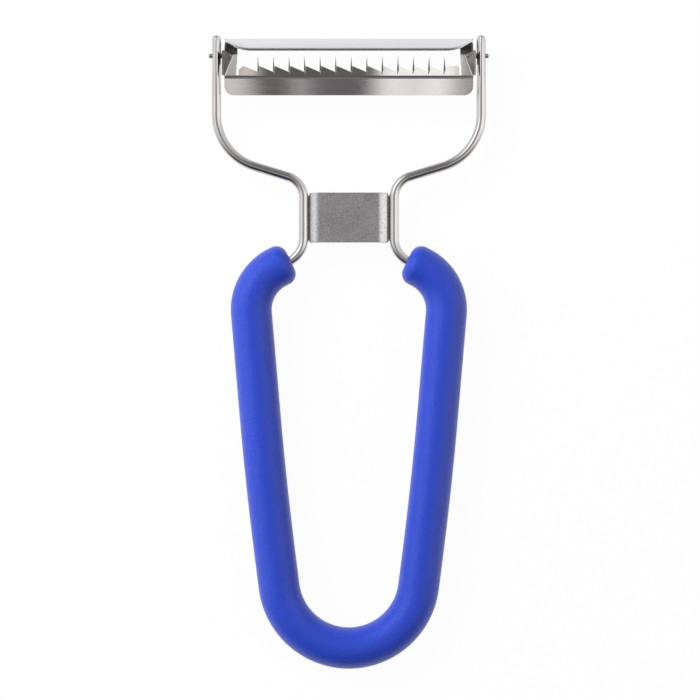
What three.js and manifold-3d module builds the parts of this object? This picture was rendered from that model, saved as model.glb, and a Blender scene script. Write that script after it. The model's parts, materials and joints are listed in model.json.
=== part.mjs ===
// Julienne peeler: a bent wire frame with a sleeve grip and a cutting head that swivels between its arms.
// Millimetres. It lies on its back on a table: +X across the arms, +Y towards the head, +Z up from the
// table, with the origin on the table under the middle of its length and width.
import * as THREE from "three";
import { mergeVertices } from "three/addons/utils/BufferGeometryUtils.js";
import Module from "manifold-3d";

const wasm = await Module();
wasm.setup();

// Wire frame, on the wire's centre line
const WIRE_DIAMETER = 2.5;
const ARM_SPAN = 69.6; // between the two arms
const ARM_RUN = 4.5; // straight round wire from an eye's taper to the shoulder's bend
const ARM_BEND = 14.2;
const SHOULDER_SLOPE = 16.9; // degrees below level
const NECK_SPAN = 23.8; // between the two wires beside the bridge
const NECK_LENGTH = 19.2; // shoulder corner to collar corner
const NECK_BEND = 5.9;
const COLLAR_SLOPE = 26; // degrees below level
const COLLAR_BEND = 6.8;
const COLLAR_RUN = 3.26; // straight wire between the collar's bend and the loop's
const LOOP_BEND = 12.5;
const LEG_LEAN = 4.9; // degrees towards the middle, above the bow
const LEG_UPPER = 53.75; // corner of the loop's bend to the middle of the bow
const LEG_BOW = 2.4; // degrees that a leg leans more below its bow
const LEG_BOW_BEND = 900;
const LEG_LOWER = 27; // middle of the bow to the loop's round end

// Eyes pressed into the arm tips for the pivot pins
const TIP_TO_PIVOT = 5.25;
const EYE_THICKNESS = 2.4;
const EYE_WALL = 1.45;
const EYE_TAPER = 11; // from the pivot down to the round wire
const TIP_ROUND = 0.8;
const TIP_FLAT = 1.7; // width left at the very end

// Sleeve grip
const GRIP_DIAMETER = 10.95;
const GRIP_END_ROUND = 3.0;
const GRIP_LAP = 0.45; // over the end of the collar bend

// Bridge plate welded between the neck wires
const BRIDGE_LENGTH = 13.1;
const BRIDGE_SHEET = 0.8;
const BRIDGE_EASE = 38; // degrees that the front face falls towards each fold
const BRIDGE_EASE_BEND = 3.4; // to the middle of the sheet
const BRIDGE_FOLD_BEND = 0.6; // to the middle of the sheet
const BRIDGE_FOLD_RUN = 0.1; // straight sheet between the two bends
const BRIDGE_DEPTH = 3.2; // front face to the edge of the turned-back sides
const BRIDGE_RISE = 1.75; // front face above the wire's centre line

// Pivot pins
const PIN_DIAMETER = 1.2;
const PIN_PROUD = 0.8; // outside the eye
const PIN_INBOARD = 1.3; // inside the ear
const PIN_CHAMFER = 0.25;
const PIN_COLLAR_WALL = 0.5; // thrust collar between ear and eye, beyond the pin
const PIN_COLLAR_LENGTH = 0.73;
const PIN_CLEARANCE = 0.14; // radial, in the eye and in the ear

// Cutting head: both sheets
const SHEET = 0.5;
const HEAD_INSET = 0.75; // from the inside of an eye to the end of a sheet
const WEB_WIDTH = 3.35; // end webs on both sides of the slot

// Comb sheet: guard, bend and toothed flange
const COMB_INSET = 0.25; // end of the cutter sheet to the end of the guard
const BEND_DROP = 5.9; // pivot down to the guard's bend
const PIN_TO_WEB = 0.5; // pin to the face of an end web
const GUARD_WIDTH = 4.7;
const GUARD_TILT = 12; // degrees
const GUARD_CORNER = 2.4;
const GUARD_CORNER_FULLNESS = 1;
const COMB_BEND = 1.0; // to the middle of the sheet
const FLANGE_LEAN = 31; // degrees
const FLANGE_WIDTH = 3.62;
const NOTCH_FLOOR = 1.55; // bend to the bottom of each notch
const SLIT_WIDTH = 0.6;
const SLIT_FLOOR = 0.48; // bend to the bottom of the slit at each end of the flange
const FIN_PITCH = 4.07;
const FIN_OFFSET = 0.64; // middle of the row of fins, off the head's middle
const FIN_REACH = 4.0;
const FIN_MARGIN = 4.1; // end of the flange to the first fin
const FLANGE_CORNER = 1.2;
const WEB_RISE = 0.5; // top edge of the end webs above the pivot
const EAR_SPLAY = 29; // degrees off square to the pin
const EAR_PLAY = 0.35; // to the inside of the eye
const EAR_WALL = 1.15;

// Cutter sheet: blade, hem and end tabs
const HEM_RISE = 5.25; // top of the hem above the pivot
const HEM_BEND = 0.6; // to the middle of the sheet
const HEM_LIP = 1.2;
const BLADE_TILT = 54; // degrees
const EDGE_RISE = 1.5; // cutting edge above the pivot
const BLADE_BEVEL = 1.0;
const BLADE_KEEN = 0.1; // thickness left at the cutting edge
const BLADE_END_ROUND = 7.1;
const BLADE_END_FULLNESS = 0.5;
const TAB_LAP = 2.4; // end tabs behind the webs
const TAB_LIP = 1.3;

const SEAT_GAP = 0.3; // between pieces that are welded, or pushed on
const WIRE_SIDES = 14;
const GRIP_SIDES = 20;
const ARC_STEP = 12; // degrees between stations on a bend
const END_STATIONS = 8; // stations worked into a shaped end

// Places worked out from the sizes above
const degrees = THREE.MathUtils.degToRad;
const direction = (angle) => new THREE.Vector2(Math.cos(angle), Math.sin(angle));
const setback = (radius, turn) => radius * Math.tan(turn / 2);
const wireRadius = WIRE_DIAMETER / 2;
const wireHeight = (GRIP_DIAMETER / 2) * Math.cos(Math.PI / GRIP_SIDES); // the sleeve lies on a flat side
const shoulderTurn = degrees(90 - SHOULDER_SLOPE);
const collarTurn = degrees(90 - COLLAR_SLOPE);
const legLean = degrees(LEG_LEAN);
const footLean = legLean + degrees(LEG_BOW);
const armLength = TIP_TO_PIVOT + EYE_TAPER + ARM_RUN + setback(ARM_BEND, shoulderTurn);
const shoulderDrop = (ARM_SPAN - NECK_SPAN) / 2 / Math.tan(shoulderTurn);
const loopTurn = collarTurn + legLean;
const collarLength = setback(COLLAR_BEND, collarTurn) + COLLAR_RUN + setback(LOOP_BEND, loopTurn);
const collarReach = direction(degrees(180 + COLLAR_SLOPE)).multiplyScalar(collarLength);
const upperReach = direction(legLean - Math.PI / 2).multiplyScalar(LEG_UPPER);
const lowerReach = direction(footLean - Math.PI / 2).multiplyScalar(LEG_LOWER);
const legReach = upperReach.clone().add(lowerReach);
const loopEndRadius = (NECK_SPAN / 2 - collarReach.x - legReach.x) / Math.cos(footLean);
const loopEndDrop = loopEndRadius * (1 - Math.sin(footLean));
const frameLength = armLength + shoulderDrop + NECK_LENGTH - collarReach.y - legReach.y + loopEndDrop;
const tipY = (frameLength + wireHeight) / 2;
const armCorner = new THREE.Vector2(-ARM_SPAN / 2, tipY - armLength);
const neckCorner = new THREE.Vector2(-NECK_SPAN / 2, armCorner.y - shoulderDrop);
const collarCorner = new THREE.Vector2(-NECK_SPAN / 2, neckCorner.y - NECK_LENGTH);
const loopCorner = collarCorner.clone().add(collarReach);
const bowCorner = loopCorner.clone().add(upperReach);
const legEnd = loopCorner.clone().add(legReach);
const pivotY = tipY - TIP_TO_PIVOT;
const eyeInside = (ARM_SPAN - EYE_THICKNESS) / 2;
const headHalf = eyeInside - HEAD_INSET;
const combHalf = headHalf - COMB_INSET;
const slotHalf = headHalf - WEB_WIDTH;
const flangeHalf = slotHalf - SLIT_WIDTH;
const cutDepth = 2 * SHEET; // a cut passes beyond both faces of a sheet
const pinRadius = PIN_DIAMETER / 2;
const pinHoleRadius = pinRadius + PIN_CLEARANCE;
const pinCollarRadius = pinRadius + PIN_COLLAR_WALL;
const pinCollarEnd = eyeInside - EAR_PLAY / 2;
const pinCollarStart = pinCollarEnd - PIN_COLLAR_LENGTH;

// A station of a bent run holds a point and the direction of travel there.
function station(point, heading) {
  return { point: point.clone(), heading: heading.clone() };
}

// Stations round an arc that starts at a point with a heading and turns by a signed angle.
function arcStations(start, heading, radius, turn) {
  const steps = Math.max(2, Math.ceil(Math.abs(turn) / degrees(ARC_STEP)));
  const side = Math.sign(turn) * radius;
  const centre = new THREE.Vector2(start.x - heading.y * side, start.y + heading.x * side);
  const origin = new THREE.Vector2();
  return Array.from({ length: steps + 1 }, (_, i) => {
    const angle = (turn * i) / steps;
    return station(start.clone().rotateAround(centre, angle), heading.clone().rotateAround(origin, angle));
  });
}

// Stations along straight runs between corners, each inner corner rounded to its own radius.
function bentRun(corners, radii) {
  const headings = corners.slice(1).map((corner, i) => corner.clone().sub(corners[i]).normalize());
  const run = [station(corners[0], headings[0])];
  radii.forEach((radius, i) => {
    const before = headings[i];
    const after = headings[i + 1];
    const turn = Math.atan2(before.cross(after), before.dot(after));
    const start = corners[i + 1].clone().addScaledVector(before, -setback(radius, Math.abs(turn)));
    run.push(...arcStations(start, before, radius, turn));
  });
  run.push(station(corners.at(-1), headings.at(-1)));
  return run;
}

// Extra stations behind the first one, closer together towards the end of the run.
function withEndStations(run, length) {
  const end = run[0];
  const extra = Array.from({ length: END_STATIONS }, (_, i) => {
    const share = (i + 1) / END_STATIONS;
    return station(end.point.clone().addScaledVector(end.heading, length * share * share), end.heading);
  });
  return [end, ...extra, ...run.slice(1)];
}

// A left half followed by its mirror image, which is travelled the other way.
function withMirror(run) {
  const mirrored = run.slice(0, -1).map(({ point, heading }) => ({
    point: new THREE.Vector2(-point.x, point.y),
    heading: new THREE.Vector2(heading.x, -heading.y),
  }));
  return [...run, ...mirrored.reverse()];
}

// A flat curve that passes through its stations and is sampled exactly at them.
class BentPath extends THREE.Curve {
  constructor(stations, height) {
    super();
    this.stations = stations;
    this.height = height;
  }

  get steps() {
    return this.stations.length - 1;
  }

  getUtoTmapping(u) {
    return u;
  }

  blend(t, key) {
    const place = t * this.steps;
    const index = Math.min(Math.floor(place), this.steps - 1);
    const next = this.stations[index + 1][key];
    return this.stations[index][key].clone().lerp(next, place - index);
  }

  getPoint(t, target = new THREE.Vector3()) {
    const point = this.blend(t, "point");
    return target.set(point.x, point.y, this.height);
  }

  getTangent(t, target = new THREE.Vector3()) {
    const heading = this.blend(t, "heading");
    return target.set(heading.x, heading.y, 0).normalize();
  }
}

// A many-sided ring with one flat side facing down.
function ring(radius, sides) {
  return Array.from({ length: sides }, (_, i) => {
    const angle = (2 * Math.PI * (i + 0.5)) / sides;
    return new THREE.Vector2(radius * Math.cos(angle), radius * Math.sin(angle));
  });
}

function tube(section, run) {
  const path = new BentPath(run, wireHeight);
  return new THREE.ExtrudeGeometry(section, { steps: path.steps, extrudePath: path, bevelEnabled: false });
}

// Moves the points of a tube's end: shape(offset, distance) changes an offset from the end's axis.
function shapeEnd(geometry, end, length, shape) {
  const position = geometry.getAttribute("position");
  const tip = new THREE.Vector3(end.point.x, end.point.y, wireHeight);
  const inward = new THREE.Vector3(end.heading.x, end.heading.y, 0);
  const offset = new THREE.Vector3();
  for (let i = 0; i < position.count; i += 1) {
    offset.fromBufferAttribute(position, i).sub(tip);
    const distance = offset.dot(inward);
    offset.addScaledVector(inward, -distance);
    if (Math.abs(distance) < length && offset.length() < GRIP_DIAMETER) {
      shape(offset, Math.max(distance, 0));
      offset.addScaledVector(inward, distance).add(tip);
      position.setXYZ(i, offset.x, offset.y, offset.z);
    }
  }
}

function bothEnds(run) {
  const last = run.at(-1);
  return [run[0], station(last.point, last.heading.clone().negate())];
}

function solidOf(geometry) {
  const bare = geometry.clone().deleteAttribute("normal").deleteAttribute("uv");
  const merged = mergeVertices(bare);
  const vertProperties = merged.getAttribute("position").array;
  const triVerts = new Uint32Array(merged.index.array);
  return new wasm.Manifold(new wasm.Mesh({ numProp: 3, vertProperties, triVerts }));
}

// Joins some geometries and cuts others out of the whole.
function formed(joined, cuts = []) {
  const whole = joined.map(solidOf).reduce((sum, piece) => sum.add(piece));
  const rest = cuts.map(solidOf).reduce((left, piece) => left.subtract(piece), whole);
  const { vertProperties, triVerts } = rest.getMesh();
  const geometry = new THREE.BufferGeometry();
  geometry.setAttribute("position", new THREE.BufferAttribute(vertProperties, 3));
  geometry.setIndex(new THREE.BufferAttribute(triVerts, 1));
  geometry.computeVertexNormals();
  return geometry;
}

// Outline of a sheet of even thickness bent along a run of stations.
function sheetProfile(run, thickness) {
  const edge = (side) =>
    run.map(({ point, heading }) => {
      const across = new THREE.Vector2(-heading.y, heading.x);
      return point.clone().addScaledVector(across, (side * thickness) / 2);
    });
  return new THREE.Shape([...edge(1), ...edge(-1).reverse()]);
}

// A shape drawn in (Y, Z), extruded along X between two ends.
function acrossX(shape, from, to) {
  const turn = new THREE.Matrix4().makeBasis(
    new THREE.Vector3(0, 1, 0),
    new THREE.Vector3(0, 0, 1),
    new THREE.Vector3(1, 0, 0),
  );
  const geometry = new THREE.ExtrudeGeometry(shape, { depth: to - from, bevelEnabled: false });
  return geometry.applyMatrix4(turn).translate(from, 0, 0);
}

// A cut drawn in (X, distance along a sheet), right through that sheet.
function onSheet(shape, root, angle) {
  const geometry = new THREE.ExtrudeGeometry(shape, { depth: cutDepth, bevelEnabled: false });
  return geometry.translate(0, 0, -cutDepth / 2).rotateX(angle).translate(0, root.x, root.y);
}

function polygon(points) {
  return new THREE.Shape(points.map(([x, y]) => new THREE.Vector2(x, y)));
}

// What a sheet loses outside two rounded corners. With a fullness of 1 they run into its ends smoothly.
function cornerCuts(half, edge, roundX, roundS, fullness) {
  return [-1, 1].map((side) => {
    const start = half - roundX;
    const cut = new THREE.Shape();
    cut.moveTo(side * start, edge);
    cut.quadraticCurveTo(side * (start + roundX * fullness), edge, side * half, edge - roundS);
    cut.lineTo(side * (half + roundX), edge - roundS);
    cut.lineTo(side * (half + roundX), edge + roundS);
    cut.lineTo(side * start, edge + roundS);
    return cut;
  });
}

// Half of the handle loop, from the collar to the bottom of the loop.
function loopHalf(start, corners, radii) {
  const path = [start, ...corners, loopCorner, bowCorner, legEnd];
  const run = bentRun(path, [...radii, LOOP_BEND, LEG_BOW_BEND]);
  const legHeading = lowerReach.clone().normalize();
  const bottom = arcStations(legEnd, legHeading, loopEndRadius, Math.PI / 2 - footLean);
  return [...run.slice(0, -1), ...bottom];
}

// One length of wire: arm, shoulder, neck, collar and half the loop, then the same again mirrored.
function wireFrame() {
  const tip = new THREE.Vector2(-ARM_SPAN / 2, tipY);
  const corners = [armCorner, neckCorner, collarCorner];
  const half = loopHalf(tip, corners, [ARM_BEND, NECK_BEND, COLLAR_BEND]);
  const shapedLength = TIP_TO_PIVOT + EYE_TAPER;
  const run = withMirror(withEndStations(half, shapedLength));
  const geometry = tube(new THREE.Shape(ring(wireRadius, WIRE_SIDES)), run);
  const eyeWidth = 2 * (pinHoleRadius + EYE_WALL);
  const tipLoss = 1 - (TIP_FLAT / WIRE_DIAMETER) ** 2;
  const pressEye = (offset, distance) => {
    const reach = Math.max(distance - TIP_TO_PIVOT, 0) / EYE_TAPER;
    const pressed = THREE.MathUtils.smoothstep(1 - reach, 0, 1);
    const blunt = Math.max(1 - distance / TIP_ROUND, 0);
    const round = Math.sqrt(1 - tipLoss * blunt * blunt);
    offset.x *= round * THREE.MathUtils.lerp(1, EYE_THICKNESS / WIRE_DIAMETER, pressed);
    offset.z *= round * THREE.MathUtils.lerp(1, eyeWidth / WIRE_DIAMETER, pressed);
  };
  bothEnds(run).forEach((end) => shapeEnd(geometry, end, shapedLength, pressEye));
  const hole = new THREE.CylinderGeometry(pinHoleRadius, pinHoleRadius, 2 * ARM_SPAN, WIRE_SIDES);
  return formed([geometry], [hole.rotateZ(Math.PI / 2).translate(0, pivotY, wireHeight)]);
}

// A thick sleeve pushed over the loop, with well-rounded ends square to the collars.
function gripSleeve() {
  const along = collarReach.clone().normalize();
  const bendEnd = setback(COLLAR_BEND, collarTurn);
  const start = collarCorner.clone().addScaledVector(along, bendEnd - GRIP_LAP);
  const run = withMirror(withEndStations(loopHalf(start, [], []), GRIP_END_ROUND));
  const gripRadius = GRIP_DIAMETER / 2;
  const boreRadius = wireRadius + SEAT_GAP;
  const section = new THREE.Shape(ring(gripRadius, GRIP_SIDES));
  section.holes.push(new THREE.Path(ring(boreRadius, WIRE_SIDES)));
  const geometry = tube(section, run);
  const easeEdge = (offset, distance) => {
    const isOutside = offset.length() > (gripRadius + boreRadius) / 2;
    const short = GRIP_END_ROUND - distance;
    const drop = GRIP_END_ROUND - Math.sqrt(GRIP_END_ROUND ** 2 - short ** 2);
    if (isOutside) offset.setLength(gripRadius - drop);
  };
  bothEnds(run).forEach((end) => shapeEnd(geometry, end, GRIP_END_ROUND, easeEdge));
  return geometry;
}

// A channel of sheet between the neck wires, with its sides turned back beside them.
function bridgePlate() {
  const half = NECK_SPAN / 2 - wireRadius - SEAT_GAP - BRIDGE_SHEET / 2;
  const front = wireHeight + BRIDGE_RISE - BRIDGE_SHEET / 2;
  const back = wireHeight + BRIDGE_RISE - BRIDGE_DEPTH;
  const ease = degrees(BRIDGE_EASE);
  const bends = setback(BRIDGE_EASE_BEND, ease) + setback(BRIDGE_FOLD_BEND, Math.PI / 2 - ease);
  const slope = bends + BRIDGE_FOLD_RUN;
  const flat = half - slope * Math.cos(ease);
  const fold = front - slope * Math.sin(ease);
  const corners = [
    [-half, back],
    [-half, fold],
    [-flat, front],
    [flat, front],
    [half, fold],
    [half, back],
  ].map(([x, z]) => new THREE.Vector2(x, z));
  const radii = [BRIDGE_FOLD_BEND, BRIDGE_EASE_BEND, BRIDGE_EASE_BEND, BRIDGE_FOLD_BEND];
  const profile = sheetProfile(bentRun(corners, radii), BRIDGE_SHEET);
  const middle = (neckCorner.y + collarCorner.y) / 2;
  const geometry = new THREE.ExtrudeGeometry(profile, { depth: BRIDGE_LENGTH, bevelEnabled: false });
  return geometry.rotateX(Math.PI / 2).translate(0, middle + BRIDGE_LENGTH / 2, 0);
}

// The head's pieces are drawn about the pivot, with (Y, Z) sections as (x, y) of a flat shape.
const flangeAngle = degrees(-FLANGE_LEAN);
const guardAngle = degrees(180 + GUARD_TILT);
const bladeAngle = degrees(180 - BLADE_TILT);
const tabAngle = degrees(180 - FLANGE_LEAN);
const webLength = (BEND_DROP + WEB_RISE) / Math.cos(flangeAngle);

// Height of the middle of the end webs' plane, which passes under the pins.
const webDrop = pinRadius + PIN_TO_WEB + SHEET / 2 / Math.cos(flangeAngle);
const webHeight = (y) => y * Math.tan(flangeAngle) - webDrop;
const combBend = new THREE.Vector2(-BEND_DROP, webHeight(-BEND_DROP));

// Where a splayed ear stands: X of its middle at the pin, and at its fold some way along the web.
const earSplay = degrees(EAR_SPLAY);
const earFace = SHEET / 2 / Math.cos(earSplay) + SEAT_GAP;
const earAtPin = pinCollarStart - earFace - pinCollarRadius * Math.tan(earSplay);
const foldX = (along) => earAtPin + Math.tan(earSplay) * (combBend.y + along * Math.sin(flangeAngle));

// The opening cut in the comb sheet: the slot, the notches between fins and a slit at each end.
function slotShape(finPlaces) {
  const above = webLength + SHEET;
  const notches = finPlaces.flatMap((x, i) => {
    const start = i === 0 ? -flangeHalf + FLANGE_CORNER : finPlaces[i - 1];
    return [
      [start, FLANGE_WIDTH],
      [x, NOTCH_FLOOR],
    ];
  });
  return polygon([
    [slotHalf, SLIT_FLOOR],
    [slotHalf, above],
    [-slotHalf, above],
    [-slotHalf, SLIT_FLOOR],
    [-flangeHalf, SLIT_FLOOR],
    [-flangeHalf, FLANGE_WIDTH - FLANGE_CORNER],
    ...notches,
    [finPlaces.at(-1), FLANGE_WIDTH],
    [flangeHalf, FLANGE_WIDTH],
    [flangeHalf, SLIT_FLOOR],
  ]);
}

// A triangular fin turned out of its notch, square to the flange.
function fin(x) {
  const along = direction(flangeAngle);
  const out = new THREE.Vector2(-along.y, along.x);
  const place = (s, n) => combBend.clone().addScaledVector(along, s).addScaledVector(out, n);
  const shape = new THREE.Shape([
    place(NOTCH_FLOOR, 0),
    place(FLANGE_WIDTH, 0),
    place(FLANGE_WIDTH, FIN_REACH),
  ]);
  return acrossX(shape, x - SHEET / 2, x + SHEET / 2);
}

// An ear folded up from an end web, which carries the pivot pin.
function ear(side) {
  const fold = (y) => webHeight(y) / Math.cos(earSplay);
  const edgeX = eyeInside - EAR_PLAY - (SHEET / 2) * Math.cos(earSplay);
  const outer = (edgeX - earAtPin) / Math.sin(earSplay);
  const foot = SHEET - BEND_DROP;
  const crown = pinHoleRadius + EAR_WALL;
  const shape = new THREE.Shape();
  shape.moveTo(foot, fold(foot));
  shape.lineTo(foot, outer);
  shape.lineTo(0, outer);
  shape.quadraticCurveTo(crown, outer, crown, 0);
  shape.lineTo(WEB_RISE, fold(WEB_RISE));
  const geometry = new THREE.ExtrudeGeometry(shape, { depth: SHEET, bevelEnabled: false, curveSegments: 6 });
  const turn = new THREE.Matrix4().makeBasis(
    new THREE.Vector3(0, 1, 0),
    new THREE.Vector3(side * Math.sin(earSplay), 0, Math.cos(earSplay)),
    new THREE.Vector3(Math.cos(earSplay), 0, -side * Math.sin(earSplay)),
  );
  return geometry.translate(0, 0, -SHEET / 2).applyMatrix4(turn).translate(side * earAtPin, 0, 0);
}

// Comb sheet: guard bar, bend, toothed flange between two slits, end webs and ears.
function julienneComb() {
  const guardEnd = combBend.clone().addScaledVector(direction(guardAngle), GUARD_WIDTH);
  const webEnd = combBend.clone().addScaledVector(direction(flangeAngle), webLength);
  const profile = sheetProfile(bentRun([guardEnd, combBend, webEnd], [COMB_BEND]), SHEET);
  const blank = acrossX(profile, -combHalf, combHalf);
  const finCount = Math.floor((2 * (flangeHalf - FIN_MARGIN)) / FIN_PITCH) + 1;
  const firstFin = FIN_OFFSET - ((finCount - 1) / 2) * FIN_PITCH;
  const finPlaces = Array.from({ length: finCount }, (_, i) => firstFin + i * FIN_PITCH);
  const flangeCut = (shape) => onSheet(shape, combBend, flangeAngle);
  const aboveWeb = webLength + SHEET;
  const webTrims = [-1, 1].map((side) =>
    polygon([
      [side * foldX(SHEET), SHEET],
      [side * foldX(aboveWeb), aboveWeb],
      [side * (headHalf + SHEET), aboveWeb],
      [side * (headHalf + SHEET), SHEET],
    ]),
  );
  const guardTrims = cornerCuts(combHalf, GUARD_WIDTH, GUARD_CORNER, GUARD_CORNER, GUARD_CORNER_FULLNESS);
  const trimmed = formed(
    [blank],
    [
      ...[slotShape(finPlaces), ...webTrims].map(flangeCut),
      ...guardTrims.map((shape) => onSheet(shape, combBend, guardAngle)),
    ],
  );
  const pinHole = new THREE.CylinderGeometry(pinHoleRadius, pinHoleRadius, 2 * ARM_SPAN, WIRE_SIDES);
  return formed([trimmed, ear(-1), ear(1), ...finPlaces.map(fin)], [pinHole.rotateZ(Math.PI / 2)]);
}

// Cutter sheet: the blade, a hem along its back and a tab at each end that lies behind a web.
function cutterBlade() {
  const seat = (SHEET + SEAT_GAP) / Math.cos(flangeAngle);
  const halfAngle = (bladeAngle - tabAngle) / 2;
  const middle = (bladeAngle + tabAngle) / 2;
  const pullback = HEM_BEND / Math.sin(Math.abs(halfAngle));
  const vertexY = HEM_RISE - SHEET / 2 - HEM_BEND - pullback * Math.cos(middle);
  const vertex = new THREE.Vector2(vertexY, webHeight(vertexY) - seat);
  const bladeLength = (vertexY - EDGE_RISE) / -Math.cos(bladeAngle);
  const tabLength = (vertexY - WEB_RISE + TAB_LAP) / -Math.cos(tabAngle);
  const edge = vertex.clone().addScaledVector(direction(bladeAngle), bladeLength);
  const tabEnd = vertex.clone().addScaledVector(direction(tabAngle), tabLength);
  const profile = sheetProfile(bentRun([edge, vertex, tabEnd], [HEM_BEND]), SHEET);
  const blank = acrossX(profile, -headHalf, headHalf);
  const hemEnd = HEM_BEND / Math.tan(Math.abs(halfAngle));
  const window = polygon([
    [-slotHalf, hemEnd + HEM_LIP],
    [slotHalf, hemEnd + HEM_LIP],
    [slotHalf, tabLength + SHEET],
    [-slotHalf, tabLength + SHEET],
  ]);
  const bladeRound = bladeLength - hemEnd - SHEET / 2;
  const bladeTrims = cornerCuts(headHalf, bladeLength, BLADE_END_ROUND, bladeRound, BLADE_END_FULLNESS);
  const front = direction(bladeAngle + Math.PI / 2).multiplyScalar(-SHEET / 2);
  const along = direction(bladeAngle);
  const bevel = new THREE.Shape([
    edge.clone().add(front).addScaledVector(along, -BLADE_BEVEL),
    edge.clone().addScaledVector(front, (2 * BLADE_KEEN) / SHEET - 1),
    edge.clone().addScaledVector(front, (2 * BLADE_KEEN) / SHEET - 1).addScaledVector(along, SHEET),
    edge.clone().addScaledVector(front, 2).addScaledVector(along, SHEET),
    edge.clone().addScaledVector(front, 2).addScaledVector(along, -BLADE_BEVEL),
  ]);
  const lipRoot = vertex.clone().addScaledVector(direction(tabAngle), hemEnd);
  const lipTop = vertex.clone().addScaledVector(direction(tabAngle), hemEnd + HEM_LIP);
  const rise = direction(tabAngle - Math.PI / 2).multiplyScalar(TAB_LIP);
  const lipFoot = pinCollarRadius + SEAT_GAP;
  const lipEnd = new THREE.Vector2(lipFoot, webHeight(lipFoot) - seat);
  const lipShape = new THREE.Shape([lipRoot, lipTop.add(rise), lipEnd.clone().add(rise), lipEnd]);
  const lips = [-headHalf, headHalf - SHEET].map((x) => acrossX(lipShape, x, x + SHEET));
  const trimmed = formed(
    [blank],
    [
      onSheet(window, vertex, tabAngle),
      ...bladeTrims.map((shape) => onSheet(shape, vertex, bladeAngle)),
      acrossX(bevel, -ARM_SPAN, ARM_SPAN),
    ],
  );
  return formed([trimmed, ...lips]);
}

// A stub pin with a thrust collar, from inside the ear out through the eye.
function pivotPin(side) {
  const inner = earAtPin - PIN_INBOARD;
  const outer = (ARM_SPAN + EYE_THICKNESS) / 2 + PIN_PROUD;
  const profile = [
    [0, inner],
    [pinRadius - PIN_CHAMFER, inner],
    [pinRadius, inner + PIN_CHAMFER],
    [pinRadius, pinCollarStart],
    [pinCollarRadius, pinCollarStart],
    [pinCollarRadius, pinCollarEnd],
    [pinRadius, pinCollarEnd],
    [pinRadius, outer - PIN_CHAMFER],
    [pinRadius - PIN_CHAMFER, outer],
    [0, outer],
  ].map(([r, x]) => new THREE.Vector2(r, x));
  return new THREE.LatheGeometry(profile, WIRE_SIDES).rotateZ((-side * Math.PI) / 2);
}

function metal(color, roughness) {
  return new THREE.MeshStandardMaterial({ color, roughness, metalness: 1 });
}

function named(name, geometry, material) {
  const mesh = new THREE.Mesh(geometry, material);
  mesh.name = name;
  return mesh;
}

const handle = new THREE.Group();
handle.add(
  named("wire_frame", wireFrame(), metal(0xc8c8c4, 0.28)),
  named("bridge_plate", bridgePlate(), metal(0xa9aaa8, 0.45)),
  named("grip_sleeve", gripSleeve(), new THREE.MeshStandardMaterial({ color: 0x3a46cd, roughness: 0.5 })),
);

const head = new THREE.Group();
head.position.set(0, pivotY, wireHeight);
head.add(
  named("cutter_blade", cutterBlade(), metal(0xd9d9de, 0.2)),
  named("julienne_comb", julienneComb(), metal(0xcfcfd0, 0.22)),
  named("pivot_pin_left", pivotPin(-1), metal(0xb5b5b3, 0.35)),
  named("pivot_pin_right", pivotPin(1), metal(0xb5b5b3, 0.35)),
);

const peeler = new THREE.Group();
peeler.add(handle, head);

export default peeler;
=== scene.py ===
"""Julienne peeler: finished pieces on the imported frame, in a plain studio.

Metres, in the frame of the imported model: +X across the arms, +Y towards the head, +Z up.
"""

import json
import math

import bmesh
import bpy
from bpy.props import FloatProperty, FloatVectorProperty, PointerProperty
from mathutils import Matrix, Quaternion, Vector


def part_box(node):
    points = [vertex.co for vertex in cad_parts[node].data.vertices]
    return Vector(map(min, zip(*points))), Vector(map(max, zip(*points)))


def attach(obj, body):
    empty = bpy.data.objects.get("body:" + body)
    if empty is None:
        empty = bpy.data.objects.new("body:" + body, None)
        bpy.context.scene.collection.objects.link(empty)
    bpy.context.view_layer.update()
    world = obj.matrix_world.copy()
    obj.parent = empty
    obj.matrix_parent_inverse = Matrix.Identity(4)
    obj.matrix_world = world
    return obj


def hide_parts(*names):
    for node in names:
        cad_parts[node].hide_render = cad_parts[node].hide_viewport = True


bl_info = {
    "name": "Julienne Peeler",
    "version": (1, 0, 0),
    "blender": (4, 5, 0),
    "location": "View3D > Sidebar > Peeler",
    "description": "Finished pieces of a swivel-head julienne peeler and the studio they lie in",
    "category": "Add Mesh",
}

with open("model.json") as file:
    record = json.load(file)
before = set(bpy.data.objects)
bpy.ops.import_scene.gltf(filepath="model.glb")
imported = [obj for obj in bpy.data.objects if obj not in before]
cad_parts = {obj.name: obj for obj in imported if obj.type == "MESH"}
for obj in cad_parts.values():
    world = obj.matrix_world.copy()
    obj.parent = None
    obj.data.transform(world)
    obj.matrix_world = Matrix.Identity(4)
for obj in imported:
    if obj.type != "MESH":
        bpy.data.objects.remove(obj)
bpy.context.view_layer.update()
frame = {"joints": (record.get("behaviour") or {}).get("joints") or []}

MM = 0.001
PIVOT = Vector(frame["joints"][0]["pos_m"])
WIRE_HEIGHT = PIVOT.z
TIP_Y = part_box("wire_frame")[1].y
GRIP_RADIUS = (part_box("grip_sleeve")[1].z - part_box("grip_sleeve")[0].z) / 2
BRIDGE_LOW, BRIDGE_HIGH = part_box("bridge_plate")
PIN_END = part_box("pivot_pin_right")[1].x
HEAD_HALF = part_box("cutter_blade")[1].x

ACROSS = Vector((1, 0, 0))
ALONG = Vector((0, 1, 0))
UP = Vector((0, 0, 1))

# How finely the meshes are divided.
WIRE_SIDES = 32
GRIP_SIDES = 56
PIN_SIDES = 40
BEND_STEP = math.radians(3)
HEM_STEP = math.radians(10)
BOW_STEP = math.radians(0.2)
ARM_STEPS = 3
SHOULDER_STEPS = 6
NECK_STEPS = 8
COLLAR_STEPS = 4
LEG_STEPS = 10
FOOT_STEPS = 4
MERGE = 1e-6
SHARP = math.radians(50)
EASED_FROM = math.radians(40)

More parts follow.
